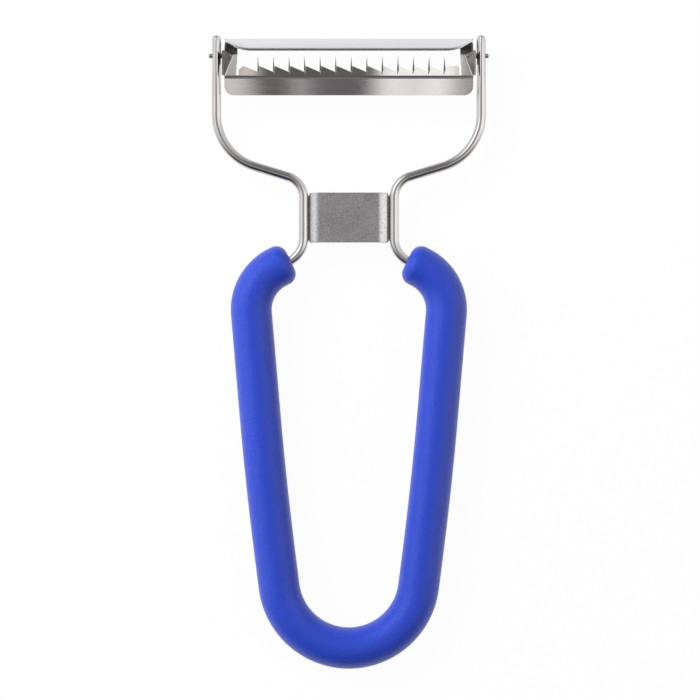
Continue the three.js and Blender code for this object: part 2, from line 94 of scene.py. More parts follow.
# Layers that the meshes carry for their modifiers and materials.
DRAWN = "drawn"
THICKNESS = "thickness"
# Marks the faces whose colour is darkened as painted shade.
SHADE_PAINTED_FACES = "unpolished"

# Surface patterns. A scale counts features in a metre, and a relief is a depth in metres.
STEEL_MARKS = 140
PLATE_MARKS = 160
GRIP_MARKS = 90
PLATE_GRAIN = 2200
GRIP_GRAIN = 1700
PLATE_RELIEF = 0.000013
GRIP_RELIEF = 0.0002
PLATE_WEAR = 0.1
GRIP_WEAR = 0.06
# Roughness added on the faces with painted shade.
SHADE_PAINT_ROUGHNESS = 0.4
# Scales of the groups' finer and slower patterns, as shares of their first scale.
FINE_GRAIN = 2.7
SLOW_DRIFT = 0.04
WIDE_STREAKS = 0.31
SMALL_SPECKS = 9.0
SPECK_LEVELS = (0.62, 0.75)
# Pattern levels, with the share of the plain colour there.
STEEL_SHARES = (0.93, 1.05)
PLATE_SHARES = ((0.36, 0.78), (0.64, 1.2))
# Levels of the painted shade on the ears and tabs, darker and lighter in patches.
SHADE_PAINT_SHARES = ((0.25, 0.5), (0.65, 1.8))

# The studio.
WHITE = (1, 1, 1, 1)
COOL = (0.95, 0.97, 1.0)
WARM = (1.0, 0.96, 0.92)
FLOOR_HALF = 4
FLOOR_DROP = 0.05 * MM
SENSOR_WIDTH = 36
CLIP_START = 0.01
CARD_STRENGTH = 2.0
TENT_RADIUS = 3.5
TENT_SEGMENTS = (64, 32)
KEY_PLACE = (-0.50, 0.45, 0.55)
KEY_GLOW = 0.8
KEY_GLOW_CORE = math.radians(4)
KEY_GLOW_EDGE = math.radians(26)
# Name, setting that holds the power, place, size and colour.
LAMPS = (
    ("KeyLamp", "key", KEY_PLACE, (0.6, 0.5), COOL),
    ("SideLamp", "side", (-0.70, 0.0, 0.30), (0.8, 0.5), COOL),
    ("FillLamp", "fill", (0.66, -0.10, 0.40), (0.9, 0.6), WARM),
)


def stripes(scale, *rows):
    """Stops for a ramp, from places in units of a scale and their colours."""
    return [(place * scale, shade) for place, *shade in rows]


TENT_ACROSS = stripes(
    TENT_RADIUS,
    (-1.0, 0.50, 0.50, 0.515),
    (-0.85, 0.57, 0.57, 0.58),
    (-0.62, 0.58, 0.575, 0.58),
    (-0.45, 0.38, 0.38, 0.39),
    (-0.30, 0.28, 0.275, 0.27),
    (-0.12, 0.26, 0.255, 0.25),
    (-0.08, 0.12, 0.115, 0.115),
    (0.06, 0.12, 0.115, 0.115),
    (0.11, 0.26, 0.25, 0.245),
    (0.24, 0.36, 0.345, 0.335),
    (0.40, 0.68, 0.655, 0.64),
    (0.80, 0.78, 0.75, 0.735),
    (1.0, 0.68, 0.655, 0.64),
)
TENT_ALONG = stripes(
    TENT_RADIUS,
    (-1.0, 0.08, 0.08, 0.08),
    (-0.52, 0.10, 0.10, 0.10),
    (-0.30, 0.55, 0.55, 0.55),
    (-0.10, 0.95, 0.95, 0.95),
    (0.0, 1.0, 1.0, 1.0),
    (0.15, 1.0, 1.0, 1.0),
    (0.40, 0.62, 0.62, 0.62),
    (1.0, 0.52, 0.52, 0.52),
)
FRONT_STRIPES = stripes(
    MM,
    (-100, 0.42, 0.41, 0.395),
    (-60, 0.39, 0.38, 0.37),
    (-53, 0.075, 0.068, 0.066),
    (-36, 0.085, 0.077, 0.077),
    (-33, 0.13, 0.12, 0.12),
    (-29, 0.36, 0.34, 0.34),
    (-24, 0.14, 0.127, 0.132),
    (-18, 0.095, 0.085, 0.092),
    (11, 0.075, 0.068, 0.072),
    (13, 0.24, 0.235, 0.235),
    (20, 0.58, 0.555, 0.55),
    (28, 0.56, 0.535, 0.53),
    (36, 0.46, 0.445, 0.44),
    (44, 0.50, 0.485, 0.48),
    (50, 0.66, 0.645, 0.63),
    (54, 0.57, 0.56, 0.545),
    (63, 0.26, 0.25, 0.245),
    (72, 0.19, 0.18, 0.175),
    (100, 0.15, 0.145, 0.14),
)
BACK_STRIPES = stripes(
    MM,
    (-150, 0.30, 0.30, 0.305),
    (-63.2, 0.26, 0.265, 0.275),
    (-62.4, 0.43, 0.41, 0.36),
    (-55, 0.42, 0.40, 0.35),
    (-51, 0.07, 0.066, 0.063),
    (14, 0.075, 0.072, 0.066),
    (20, 0.60, 0.59, 0.55),
    (62.2, 0.64, 0.63, 0.59),
    (63.2, 0.20, 0.20, 0.205),
    (150, 0.17, 0.17, 0.175),
)
SKIRT_STRIPES = stripes(MM, (-150, 0.035, 0.03, 0.028), (150, 0.035, 0.03, 0.028))
# Name, near and far edges along X, Y and Z, and stripes.
BOARDS = (
    ("FrontBoard", (-0.10, 0.10), (-0.17, -0.03), (0.59, 0.59), FRONT_STRIPES),
    ("BackBoard", (-0.15, 0.15), (0.64, 0.64), (0.155, 0.29), BACK_STRIPES),
    ("BackSkirt", (-0.15, 0.15), (0.64, 0.64), (0.0, 0.155), SKIRT_STRIPES),
)


def length(name, description, millimetres):
    return FloatProperty(
        name=name,
        description=description,
        default=millimetres * MM,
        subtype='DISTANCE',
        unit='LENGTH',
        precision=5,
    )


def angle(name, description, degrees):
    return FloatProperty(
        name=name,
        description=description,
        default=math.radians(degrees),
        subtype='ANGLE',
        unit='ROTATION',
    )


def share(name, description, value):
    return FloatProperty(
        name=name, description=description, default=value, min=0, max=1, subtype='FACTOR'
    )


def strength(name, description, value, unit='NONE'):
    return FloatProperty(name=name, description=description, default=value, min=0, unit=unit)


def colour(name, description, value):
    return FloatVectorProperty(
        name=name, description=description, default=value, size=3, min=0, max=1, subtype='COLOR'
    )


class PeelerFrameSizes(bpy.types.PropertyGroup):
    """The bent wire, on its centre line."""

    wire_diameter: length("Wire Diameter", "Thickness of the round wire", 2.5)
    arm_span: length("Arm Span", "Between the two arms", 69.6)
    arm_run: length("Arm Run", "Straight round wire from an eye's taper to the shoulder", 4.5)
    arm_bend: length("Arm Bend", "Radius of the outer bend of a shoulder", 14.2)
    shoulder_slope: angle("Shoulder Slope", "Fall of the shoulders below level", 16.9)
    neck_span: length("Neck Span", "Between the two wires beside the bridge", 23.8)
    neck_length: length("Neck Length", "Shoulder corner to collar corner", 19.2)
    neck_bend: length("Neck Bend", "Radius of the inner bend of a shoulder", 5.9)
    collar_slope: angle("Collar Slope", "Fall of the collars below level", 26)
    collar_bend: length("Collar Bend", "Radius of the bend below the bridge", 6.8)
    collar_run: length("Collar Run", "Straight wire between the collar's bend and the loop's", 3.26)
    loop_bend: length("Loop Bend", "Radius of the bend at the top of the loop", 12.5)
    leg_lean: angle("Leg Lean", "Lean of the loop's legs towards the middle, above their bow", 4.9)
    leg_upper: length("Leg Upper", "Corner of the loop's bend to the middle of the bow", 53.75)
    leg_bow: angle("Leg Bow", "How much more a leg leans below its bow", 2.4)
    leg_bow_bend: length("Leg Bow Bend", "Radius of the bow of a leg", 900)
    leg_lower: length("Leg Lower", "Middle of the bow to the loop's round end", 27)
    tip_to_pivot: length("Tip to Pivot", "End of an arm to the pivot", 5.25)
    eye_thickness: length("Eye Thickness", "Pressed thickness of an eye", 2.4)
    eye_width: length("Eye Width", "Pressed width of an eye", 4.38)
    eye_taper: length("Eye Taper", "From the pivot down to the round wire", 11)
    tip_round: length("Tip Round", "Length of the rounded end of an arm", 0.8)
    tip_flat: share("Tip Flat", "Width left at the very end of an arm", 0.68)
    pin_hole: length("Pin Hole", "Diameter of the hole through an eye", 1.48)


class PeelerGripSizes(bpy.types.PropertyGroup):
    """The soft sleeve on the loop."""

    end_round: length("End Round", "Radius along the rim of each end", 3.0)
    bore: length("Bore", "Diameter of the hole for the wire", 2.62)
    mouth: length("Mouth", "Width of the eased rim of the hole", 0.35)
    lap: length("Lap", "Sleeve over the end of the collar's bend", 0.45)


class PeelerBridgeSizes(bpy.types.PropertyGroup):
    """The channel between the neck wires."""

    sheet: length("Sheet", "Thickness of the sheet", 0.8)
    ease: angle("Ease", "Fall of the front face towards each fold", 38)
    ease_bend: length("Ease Bend", "Radius of that fall, to the middle of the sheet", 3.4)
    fold_bend: length("Fold Bend", "Radius of the folds, to the middle of the sheet", 0.6)
    fold_run: length("Fold Run", "Straight sheet between the two bends", 0.1)
    easing: length("Easing", "Width of the eased edges", 0.2)
    bead: length("Bead", "Radius of the weld beads", 0.3)
    bead_depth: length("Bead Depth", "Weld beads below the middle of the wire", 0.6)
    bead_inset: length("Bead Inset", "End of the plate to the end of a bead", 0.5)
    ripple: length("Ripple", "Length of one ripple of a bead", 0.9)


class PeelerCombSizes(bpy.types.PropertyGroup):
    """The toothed sheet of the head, about the pivot."""

    sheet: length("Sheet", "Thickness of the sheet", 0.5)
    inset: length("Inset", "End of the cutter sheet to the end of the guard", 0.25)
    bend_drop: length("Bend Drop", "Pivot down to the guard's bend", 5.9)
    bend_height: length("Bend Height", "Corner of the guard's bend above the pivot", 2.1533)
    guard_width: length("Guard Width", "Free edge of the guard to its bend", 4.7)
    guard_tilt: angle("Guard Tilt", "Tilt of the guard", 12)
    guard_corner: length("Guard Corner", "Radius of the guard's corners", 2.3)
    bend: length("Bend", "Radius of the guard's bend, to the middle of the sheet", 1.0)
    lean: angle("Lean", "Fall of the toothed flange and the webs", 31)
    web_width: length("Web Width", "End webs on both sides of the slot", 3.35)
    web_rise: length("Web Rise", "Top edge of the end webs above the pivot", 0.5)
    slit_width: length("Slit Width", "Slit at each end of the toothed flange", 0.6)
    slit_floor: length("Slit Floor", "Bend to the bottom of a slit", 0.48)
    notch_floor: length("Notch Floor", "Bend to the bottom of a notch", 1.55)
    flange_width: length("Flange Width", "Bend to the tips of the teeth", 3.62)
    flange_corner: length("Flange Corner", "Cut corner at the start of the teeth", 1.2)
    fin_pitch: length("Fin Pitch", "Between two fins", 4.07)
    fin_first: length("First Fin", "First fin to the head's middle", 23.78)
    fin_reach: length("Fin Reach", "How far a fin stands out", 4.0)
    fin_root: share("Fin Root", "Part of a tooth's side that stays flat under its fin", 0.18)
    fin_point: share("Fin Point", "Thickness left at the point of a fin", 0.1)
    ear_splay: angle("Ear Splay", "Ears off square to the pin", 29)
    ear_at_pin: length("Ear at Pin", "Middle of the head to an ear at its pin", 31.499)
    ear_foot: length("Ear Foot", "Lower edge of an ear below the pivot", 5.4)
    ear_outer: length("Ear Outer", "Free edge of an ear from the pivot", 3.16)
    ear_fold: length("Ear Fold", "Width of the round between a web and its ear", 0.4)
    ear_crown: length("Ear Crown", "Top of an ear above the pivot", 1.3)
    ear_step: length("Ear Step", "Top of an ear beside the web, above the pivot", 0.66)
    easing: length("Easing", "Width of the eased edges", 0.07)


class PeelerBladeSizes(bpy.types.PropertyGroup):
    """The cutting sheet of the head, about the pivot."""

    sheet: length("Sheet", "Thickness of the sheet", 0.5)
    hem_along: length("Hem Along", "Hem's centre above the pivot", 4.4)
    hem_drop: length("Hem Drop", "Hem's centre under the pivot", 4.2686)
    hem_bend: length("Hem Bend", "Radius of the hem, inside", 0.35)
    blade_tilt: angle("Blade Tilt", "Tilt of the blade", 54)
    blade_width: length("Blade Width", "Hem to the cutting edge", 5.757)
    ground: length("Ground Width", "Width of the ground band", 1.0)
    ground_end: share("Ground End", "Width of the ground band left at each end", 0.45)
    keen: share("Keen", "Thickness left at the cutting edge", 0.3)
    end_round: length("End Round", "Length of the slanted round at each end", 7.1)
    end_height: length("End Height", "Blade left at its very end", 0.25)
    tab_lean: angle("Tab Lean", "Rise of the tabs behind the webs", 31)
    tab_width: length("Tab Width", "End tabs along the head", 3.35)
    tab_length: length("Tab Length", "Hem to the end of a tab", 6.989)
    hem_lip: length("Hem Lip", "Turned-under strip along the hem", 1.2)
    tab_lip: length("Tab Lip", "Height of the end walls", 1.3)
    wall_foot: length("Wall Foot", "Lower end of the end walls above the pivot", 1.4)
    easing: length("Easing", "Width of the eased edges", 0.05)


class PeelerPinSizes(bpy.types.PropertyGroup):
    """A stub pin with its thrust collar."""

    diameter: length("Diameter", "Thickness of the pin", 1.2)
    crown: length("Crown", "Radius along the rim of each end", 0.3)
    inner_end: length("Inner End", "Middle of the head to the pin's inner end", 30.95)
    collar_wall: length("Collar Wall", "Thrust collar beyond the pin", 0.5)
    collar_from: length("Collar From", "Middle of the head to the collar", 32.695)
    collar_to: length("Collar To", "Middle of the head to the collar's outer face", 33.425)
    easing: length("Easing", "Width of the collar's eased edges", 0.1)


class PeelerFinishes(bpy.types.PropertyGroup):
    """Colours and gloss."""

    wire_steel: colour("Wire Steel", "Colour of the wire", (0.60, 0.59, 0.585))
    plate_steel: colour("Plate Steel", "Colour of the bridge plate", (0.56, 0.56, 0.575))
    blade_steel: colour("Blade Steel", "Colour of the blade", (0.80, 0.79, 0.82))
    comb_steel: colour("Comb Steel", "Colour of the comb", (0.72, 0.70, 0.70))
    pin_steel: colour("Pin Steel", "Colour of the pins", (0.30, 0.29, 0.285))
    # Painted shade: a dark colour that stands for the shade on the ears and on the blade's tabs and
    # end walls.
    shade_painted_steel: colour("Shaded Steel", "Colour of the unpolished ears and tabs", (0.24, 0.215, 0.21))
    grip_blue: colour("Grip Blue", "Colour of the sleeve", (0.019, 0.060, 0.54))
    grip_deep: colour("Grip Deep Blue", "Colour in the sleeve's pores", (0.013, 0.046, 0.43))
    wire_gloss: share("Wire Roughness", "Roughness of the wire", 0.15)
    plate_gloss: share("Plate Roughness", "Roughness of the bridge plate", 0.30)
    blade_gloss: share("Blade Roughness", "Roughness of the blade", 0.20)
    comb_gloss: share("Comb Roughness", "Roughness of the comb", 0.05)
    pin_gloss: share("Pin Roughness", "Roughness of the pins", 0.30)
    grip_gloss: share("Grip Roughness", "Roughness of the sleeve", 0.35)


class PeelerStudio(bpy.types.PropertyGroup):
    """Camera, lamps and floor."""

    camera_height: length("Camera Height", "Camera above the wire", 500)
    camera_along: length("Camera Along", "Camera towards the head", 0.6)
    camera_across: length("Camera Across", "Camera towards the right arm", 0.3)
    view_width: length("View Width", "Width of the picture at the wire", 184.1)
    ambient: strength("Ambient", "Strength of the light from all round", 0.29)
    key: strength("Key Lamp", "Power of the lamp on the left", 8.0, 'POWER')
    side: strength("Side Lamp", "Power of the low lamp on the left", 2.0, 'POWER')
    fill: strength("Fill Lamp", "Power of the lamp on the right", 1.3, 'POWER')
    floor: colour("Floor", "Colour of the floor", (0.94, 0.94, 0.94))
    shadow: share("Shadow", "How much of the shadow the floor shows", 0.04)


class PeelerSettings(bpy.types.PropertyGroup):
    """All sizes and finishes of the peeler."""

    frame: PointerProperty(type=PeelerFrameSizes)
    grip: PointerProperty(type=PeelerGripSizes)
    bridge: PointerProperty(type=PeelerBridgeSizes)
    comb: PointerProperty(type=PeelerCombSizes)
    blade: PointerProperty(type=PeelerBladeSizes)
    pin: PointerProperty(type=PeelerPinSizes)
    finish: PointerProperty(type=PeelerFinishes)
    studio: PointerProperty(type=PeelerStudio)


def settings():
    return bpy.context.scene.peeler


def setback(radius, turn):
    """Corner of a bend to where its arc starts."""
    return radius * math.tan(abs(turn) / 2)


def smooth(share_done):
    """0 to 1 with a soft start and a soft end."""
    return share_done * share_done * (3 - 2 * share_done)


def mix(start, end, share_done):
    return start + (end - start) * share_done


def each_once(items):
    """Drops repeats and keeps the order."""
    return list(dict.fromkeys(items))


def left_to_right(verts):
    return sorted(verts, key=lambda vert: vert.co.x)


def of_kind(geometry, kind):
    return [item for item in geometry if isinstance(item, kind)]


def edge_between(first, second):
    return next(edge for edge in first.link_edges if edge.other_vert(first) is second)


class Sweep:
    """Carries edges along straight runs and bends, and leaves a skin behind them.

    Without edges it only works out the place and heading at the end of the way.
    """

    def __init__(self, bm, edges, place, heading, axis):
        self.bm = bm
        self.edges = edges
        self.place = Vector(place)
        self.heading = Vector(heading)
        self.axis = Vector(axis)
        self.scale = Vector((1, 1, 1))
        self.travelled = 0.0
        self.drawn = None

    @property
    def verts(self):
        return each_once(vert for edge in self.edges for vert in edge.verts)

    def take(self, geometry):
        """Goes on from the edges that an operator has just made."""
        verts = set(of_kind(geometry, bmesh.types.BMVert))
        self.edges = [
            edge for edge in of_kind(geometry, bmesh.types.BMEdge) if verts.issuperset(edge.verts)
        ]

    def run(self, distance, steps=1):
        for _ in range(steps):
            offset = self.heading * (distance / steps)
            if self.edges:
                self.take(bmesh.ops.extrude_edge_only(self.bm, edges=self.edges)["geom"])
                bmesh.ops.translate(self.bm, vec=offset, verts=self.verts)
            self.advance(self.place + offset, distance / steps)
        return self

    def bend(self, radius, turn, step=BEND_STEP):
        steps = max(2, math.ceil(abs(turn) / step))
        inward = self.axis.cross(self.heading) * math.copysign(radius, turn)
        centre = self.place + inward
        for _ in range(steps):
            if self.edges:
                made = bmesh.ops.spin(
                    self.bm,
                    geom=self.edges + self.verts,
                    cent=centre,
                    axis=self.axis,
                    angle=turn / steps,
                    steps=1,
                    use_duplicate=False,
                )
                self.take(made["geom_last"])
            rotation = Quaternion(self.axis, turn / steps)
            self.heading.rotate(rotation)
            arm = self.place - centre
            arm.rotate(rotation)
            self.advance(centre + arm, radius * abs(turn) / steps)
        return self

    def advance(self, place, distance):
        self.place = place
        self.travelled += distance
        self.mark()

    def swell(self, scale):
        """Scales the edges about the place to a share of their first size along X, Y and Z."""
        ratio = Vector(new / old for new, old in zip(scale, self.scale))
        self.scale = Vector(scale)
        space = Matrix.Translation(-self.place)
        bmesh.ops.scale(self.bm, vec=ratio, space=space, verts=self.verts)
        return self

    def mark(self):
        """Notes each point's place round and along the wire, for the draw lines."""
        if self.drawn is None:
            return
        side = self.axis.cross(self.heading)
        for vert in self.verts:
            offset = (vert.co - self.place).normalized()
            vert[self.drawn] = (offset.dot(side), offset.dot(self.axis), self.travelled)


def ring(bm, place, heading, axis, radius, sides, cap):
    """A ring of edges square to a heading, as the start of a sweep."""
    turn = Matrix((axis.cross(heading), axis, -heading)).transposed().to_4x4()
    made = bmesh.ops.create_circle(
        bm,
        cap_ends=cap,
        segments=sides,
        radius=radius,
        matrix=Matrix.Translation(place) @ turn,
    )
    edges = each_once(edge for vert in made["verts"] for edge in vert.link_edges)
    return Sweep(bm, edges, place, heading, axis)


def line(bm, points, heading, axis):
    """A chain of edges through some points, as the start of a sweep."""
    verts = [bm.verts.new(point) for point in points]
    edges = [bm.edges.new(pair) for pair in zip(verts, verts[1:])]
    return Sweep(bm, edges, verts[0].co.copy(), heading, axis)


def from_row(bm, verts, heading):
    """The edges between points in a row, as the start of a sweep of the head's sheet."""
    edges = [edge_between(*pair) for pair in zip(verts, verts[1:])]
    return Sweep(bm, edges, verts[0].co, heading, ACROSS)


def rounded(bm, geometry, affect, offset, segments):
    """Rounds corners or edges of a sheet. Returns the faces of the round."""
    made = bmesh.ops.bevel(
        bm,
        geom=geometry,
        offset=offset,
        offset_type='OFFSET',
        affect=affect,
        segments=segments,
        profile=0.5,
        material=-1,
    )
    return set(made["faces"])


def mirrored(bm):
    """Adds the right half of a left one."""
    everything = bm.verts[:] + bm.edges[:] + bm.faces[:]
    bmesh.ops.mirror(bm, geom=everything, matrix=Matrix(), merge_dist=MERGE, axis='X')


def closed(bm):
    """Merges doubles and turns all faces outwards."""
    bmesh.ops.remove_doubles(bm, verts=bm.verts, dist=MERGE)
    bmesh.ops.recalc_face_normals(bm, faces=bm.faces)


def placed(bm, name, material):
    """Makes an object of a mesh."""
    mesh = bpy.data.meshes.new(name)
    bm.to_mesh(mesh)
    bm.free()
    mesh.materials.append(material)
    item = bpy.data.objects.new(name, mesh)
    bpy.context.scene.collection.objects.link(item)
    return item


def piece(bm, name, material, body, node=None):
    """Makes a smooth piece of a mesh and ties it to the frame."""
    item = placed(bm, name, material)
    item.data.shade_smooth()
    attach(item, body)
    if node:
        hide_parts(node)
    return item


def thicken(item, thickness, offset, group=None):
    """Gives a sheet its thickness, less where a vertex group says so."""
    solidify = item.modifiers.new("Sheet", 'SOLIDIFY')
    solidify.thickness = thickness
    solidify.offset = offset
    solidify.use_even_offset = True
    solidify.use_quality_normals = True
    if group:
        item.vertex_groups.new(name=group)
        solidify.vertex_group = group


def ease(item, width, segments=3):
    """Takes the sharpness off a piece's edges."""
    bevel = item.modifiers.new("Eased edges", 'BEVEL')
    bevel.width = width
    bevel.segments = segments
    bevel.limit_method = 'ANGLE'
    bevel.angle_limit = EASED_FROM
    bevel.harden_normals = True


def bored(item, cutter_mesh):
    """Cuts a solid out of a piece for good."""
    cutter = bpy.data.objects.new("drill", cutter_mesh)
    bpy.context.scene.collection.objects.link(cutter)
    boolean = item.modifiers.new("Holes", 'BOOLEAN')
    boolean.operation = 'DIFFERENCE'
    boolean.solver = 'EXACT'
    boolean.object = cutter
    graph = bpy.context.evaluated_depsgraph_get()
    cut = bpy.data.meshes.new_from_object(item.evaluated_get(graph), depsgraph=graph)
    item.modifiers.clear()
    spare = item.data
    item.data = cut
    cut.name = item.name
    bpy.data.meshes.remove(spare)
    bpy.data.objects.remove(cutter)
    bpy.data.meshes.remove(cutter_mesh)


class Graph:
    """Adds and links the nodes of a material, a world or a node group."""

    def __init__(self, tree):
        self.tree = tree

    def feed(self, socket, value):
        """Links an input to another node's output, or sets it."""
        if isinstance(value, bpy.types.NodeSocket):
            self.tree.links.new(value, socket)
        else:
            socket.default_value = value

    def add(self, kind, inputs=(), **values):
        node = self.tree.nodes.new(kind)
        for key, value in values.items():
            setattr(node, key, value)
        for key, value in dict(inputs).items():
            self.feed(node.inputs[key], value)
        return node

    def end(self, kind, inputs, exit_kind='ShaderNodeOutputMaterial'):
        """Adds the shader that a material or a world ends in."""
        shader = self.add(kind, inputs)
        self.add(exit_kind, {"Surface": shader.outputs[0]})

    def place(self):
        """Each point's place on the piece."""
        return self.add('ShaderNodeTexCoord').outputs["Object"]

    def group(self, name, build, inputs):
        """Places a shared node group, which is built once. Returns its outputs."""
        tree = bpy.data.node_groups.get(name) or build(name)
        return self.add('ShaderNodeGroup', inputs, node_tree=tree).outputs

    def math(self, operation, first, second):
        node = self.add('ShaderNodeMath', {0: first, 1: second}, operation=operation)
        return node.outputs[0]

    def vector(self, operation, first, second):
        node = self.add('ShaderNodeVectorMath', {0: first, 1: second}, operation=operation)
        return node.outputs["Value" if operation == 'DOT_PRODUCT' else "Vector"]

    def weigh(self, first, weight, second):
        """The mean of two values, of which the first has the given weight."""
        rest = self.math('MULTIPLY', second, 1 - weight)
        return self.math('ADD', self.math('MULTIPLY', first, weight), rest)

    def spread(self, value, low, high):
        """A value from 0 to 1, as one from low to high."""
        node = self.add('ShaderNodeMapRange', {"Value": value, "To Min": low, "To Max": high})
        return node.outputs["Result"]

    def ramp(self, value, stops):
        """Colours at given values, from the first stop to the last."""
        low = stops[0][0]
        high = stops[-1][0]
        part = self.add('ShaderNodeMapRange', {"Value": value, "From Min": low, "From Max": high})
        node = self.add('ShaderNodeValToRGB', {"Fac": part.outputs["Result"]})
        elements = node.color_ramp.elements
        elements[0].color = (*stops[0][1], 1)
        elements[1].color = (*stops[-1][1], 1)
        for stop, shade in stops[1:-1]:
            elements.new((stop - low) / (high - low)).color = (*shade, 1)
        return node.outputs["Color"]

    def blend(self, factor, first, second):
        """A colour between two others."""
        node = self.add('ShaderNodeMix', {"Factor": factor}, data_type='RGBA')
        sockets = [socket for socket in node.inputs if socket.type == 'RGBA']
        for socket, shade in zip(sockets, (first, second)):
            self.feed(socket, shade)
        return next(socket for socket in node.outputs if socket.type == 'RGBA')

    def noise(self, vector, scale, detail, roughness=0.5):
        inputs = {"Vector": vector, "Scale": scale, "Detail": detail, "Roughness": roughness}
        return self.add('ShaderNodeTexNoise', inputs).outputs["Fac"]

    def relief(self, height, depth):
        """A normal that a height bends."""
        inputs = {"Height": height, "Strength": 1.0, "Distance": depth}
        return self.add('ShaderNodeBump', inputs).outputs["Normal"]


def new_group(name, inputs, outputs):
    """An empty shader node group with named sockets. Returns its graph, entry and exit."""
    tree = bpy.data.node_groups.new(name, 'ShaderNodeTree')
    for socket, kind in inputs.items():
        tree.interface.new_socket(name=socket, in_out='INPUT', socket_type=kind)
    for socket in outputs:
        tree.interface.new_socket(name=socket, in_out='OUTPUT', socket_type='NodeSocketFloat')
    graph = Graph(tree)
    return graph, graph.add('NodeGroupInput').outputs, graph.add('NodeGroupOutput').inputs


def fine_grain(name):
    """Pores of two sizes: a height, and a slow drift for colour and gloss."""
    graph, entry, leave = new_group(
        name,
        {"Vector": 'NodeSocketVector', "Scale": 'NodeSocketFloat'},
        ("Height", "Drift"),
    )
    vector = entry["Vector"]
    scale = entry["Scale"]
    coarse = graph.noise(vector, scale, 2.0)
    fine = graph.noise(vector, graph.math('MULTIPLY', scale, FINE_GRAIN), 2.0)
    drift = graph.noise(vector, graph.math('MULTIPLY', scale, SLOW_DRIFT), 3.0)
    graph.feed(leave["Height"], graph.weigh(coarse, 0.6, fine))
    graph.feed(leave["Drift"], drift)
    return graph.tree


def draw_lines(name):
    """Fine parallel lines along which the vector is stretched: a height and a streak mask."""
    graph, entry, leave = new_group(name, {"Vector": 'NodeSocketVector'}, ("Height", "Streaks"))
    vector = entry["Vector"]
    graph.feed(leave["Height"], graph.noise(vector, 1.0, 4.0, 0.6))
    graph.feed(leave["Streaks"], graph.noise(vector, WIDE_STREAKS, 2.0))
    return graph.tree


def handling_marks(name):
    """Soft patches and a few specks, as left by fingers and washing."""
    graph, entry, leave = new_group(
        name,
        {"Vector": 'NodeSocketVector', "Scale": 'NodeSocketFloat'},
        ("Marks",),
    )
    vector = entry["Vector"]
    scale = entry["Scale"]
    patches = graph.noise(vector, scale, 3.0)
    specks = graph.noise(vector, graph.math('MULTIPLY', scale, SMALL_SPECKS), 2.0)
    low, high = SPECK_LEVELS
    few = graph.add('ShaderNodeMapRange', {"Value": specks, "From Min": low, "From Max": high})
    graph.feed(leave["Marks"], graph.weigh(patches, 0.8, few.outputs["Result"]))
    return graph.tree


def new_material(name):
    """An empty material and its graph."""
    material = bpy.data.materials.new(name)
    material.use_nodes = True
    material.node_tree.nodes.clear()
    return material, Graph(material.node_tree)


def tint(shade, factor):
    return tuple(channel * factor for channel in shade)


def tints(shade, shares):
    """Stops for a ramp, from levels and shares of a shade."""
    return [(level, tint(shade, factor)) for level, factor in shares]


def marks_on(graph, place, scale):
    inputs = {"Vector": place, "Scale": scale}
    return graph.group("Handling Marks", handling_marks, inputs)["Marks"]


def grain_on(graph, place, scale):
    return graph.group("Fine Grain", fine_grain, {"Vector": place, "Scale": scale})


def steel(name, shade, roughness, lines, relief, wear, drawn=False, raw=None):
    """Stainless steel with fine lines along one direction, handling marks and a little drift.

    lines is the scale of the line pattern along X, Y and Z, relief its depth, and wear how much the
    roughness changes. The lines of a drawn piece follow it. The last argument is painted shade: a
    dark colour, in patches, for the faces that a piece marks, which are also rougher.
    """
    material, graph = new_material(name)
    place = graph.place()
    base = place
    if drawn:
        base = graph.add('ShaderNodeAttribute', attribute_name=DRAWN).outputs["Vector"]
    stretched = graph.add('ShaderNodeMapping', {"Vector": base, "Scale": lines}).outputs["Vector"]
    pattern = graph.group("Draw Lines", draw_lines, {"Vector": stretched})
    marks = marks_on(graph, place, STEEL_MARKS)
    uneven = graph.weigh(marks, 0.6, pattern["Streaks"])
    gloss = graph.spread(uneven, roughness - wear, roughness + wear)
    dark, pale = ((*tint(shade, factor), 1) for factor in STEEL_SHARES)
    metal = graph.blend(uneven, dark, pale)
    # Painted shade: the marked faces take a dark, patchy colour that stands for shade.
    if raw:
        part = graph.add('ShaderNodeAttribute', attribute_name=SHADE_PAINTED_FACES).outputs["Fac"]
        metal = graph.blend(part, metal, graph.ramp(marks, tints(raw, SHADE_PAINT_SHARES)))
        gloss = graph.math('ADD', gloss, graph.math('MULTIPLY', part, SHADE_PAINT_ROUGHNESS))
    graph.end('ShaderNodeBsdfPrincipled', {
        "Base Color": metal,
        "Roughness": gloss,
        "Normal": graph.relief(pattern["Height"], relief),
        "Metallic": 1.0,
    })
    return material


def plate_finish(finish):
    """Fine matte grain, as blasted sheet has."""
    material, graph = new_material("plate_steel")
    place = graph.place()
    grain = grain_on(graph, place, PLATE_GRAIN)
    marks = marks_on(graph, place, PLATE_MARKS)
    rough = finish.plate_gloss
    graph.end('ShaderNodeBsdfPrincipled', {
        "Base Color": graph.ramp(grain["Height"], tints(finish.plate_steel, PLATE_SHARES)),
        "Roughness": graph.spread(marks, rough - PLATE_WEAR, rough + PLATE_WEAR),
        "Normal": graph.relief(grain["Height"], PLATE_RELIEF),
        "Metallic": 1.0,
    })
    return material


def grip_finish(finish):
    """Soft blue plastic with a fine moulded grain."""
    material, graph = new_material("blue_grip")
    place = graph.place()
    grain = grain_on(graph, place, GRIP_GRAIN)
    marks = marks_on(graph, place, GRIP_MARKS)
    uneven = graph.weigh(grain["Height"], 0.7, grain["Drift"])
    rough = finish.grip_gloss
    graph.end('ShaderNodeBsdfPrincipled', {
        "Base Color": graph.blend(uneven, (*finish.grip_deep, 1), (*finish.grip_blue, 1)),
        "Roughness": graph.spread(marks, rough - GRIP_WEAR, rough + GRIP_WEAR),
        "Normal": graph.relief(grain["Height"], GRIP_RELIEF),
    })
    return material


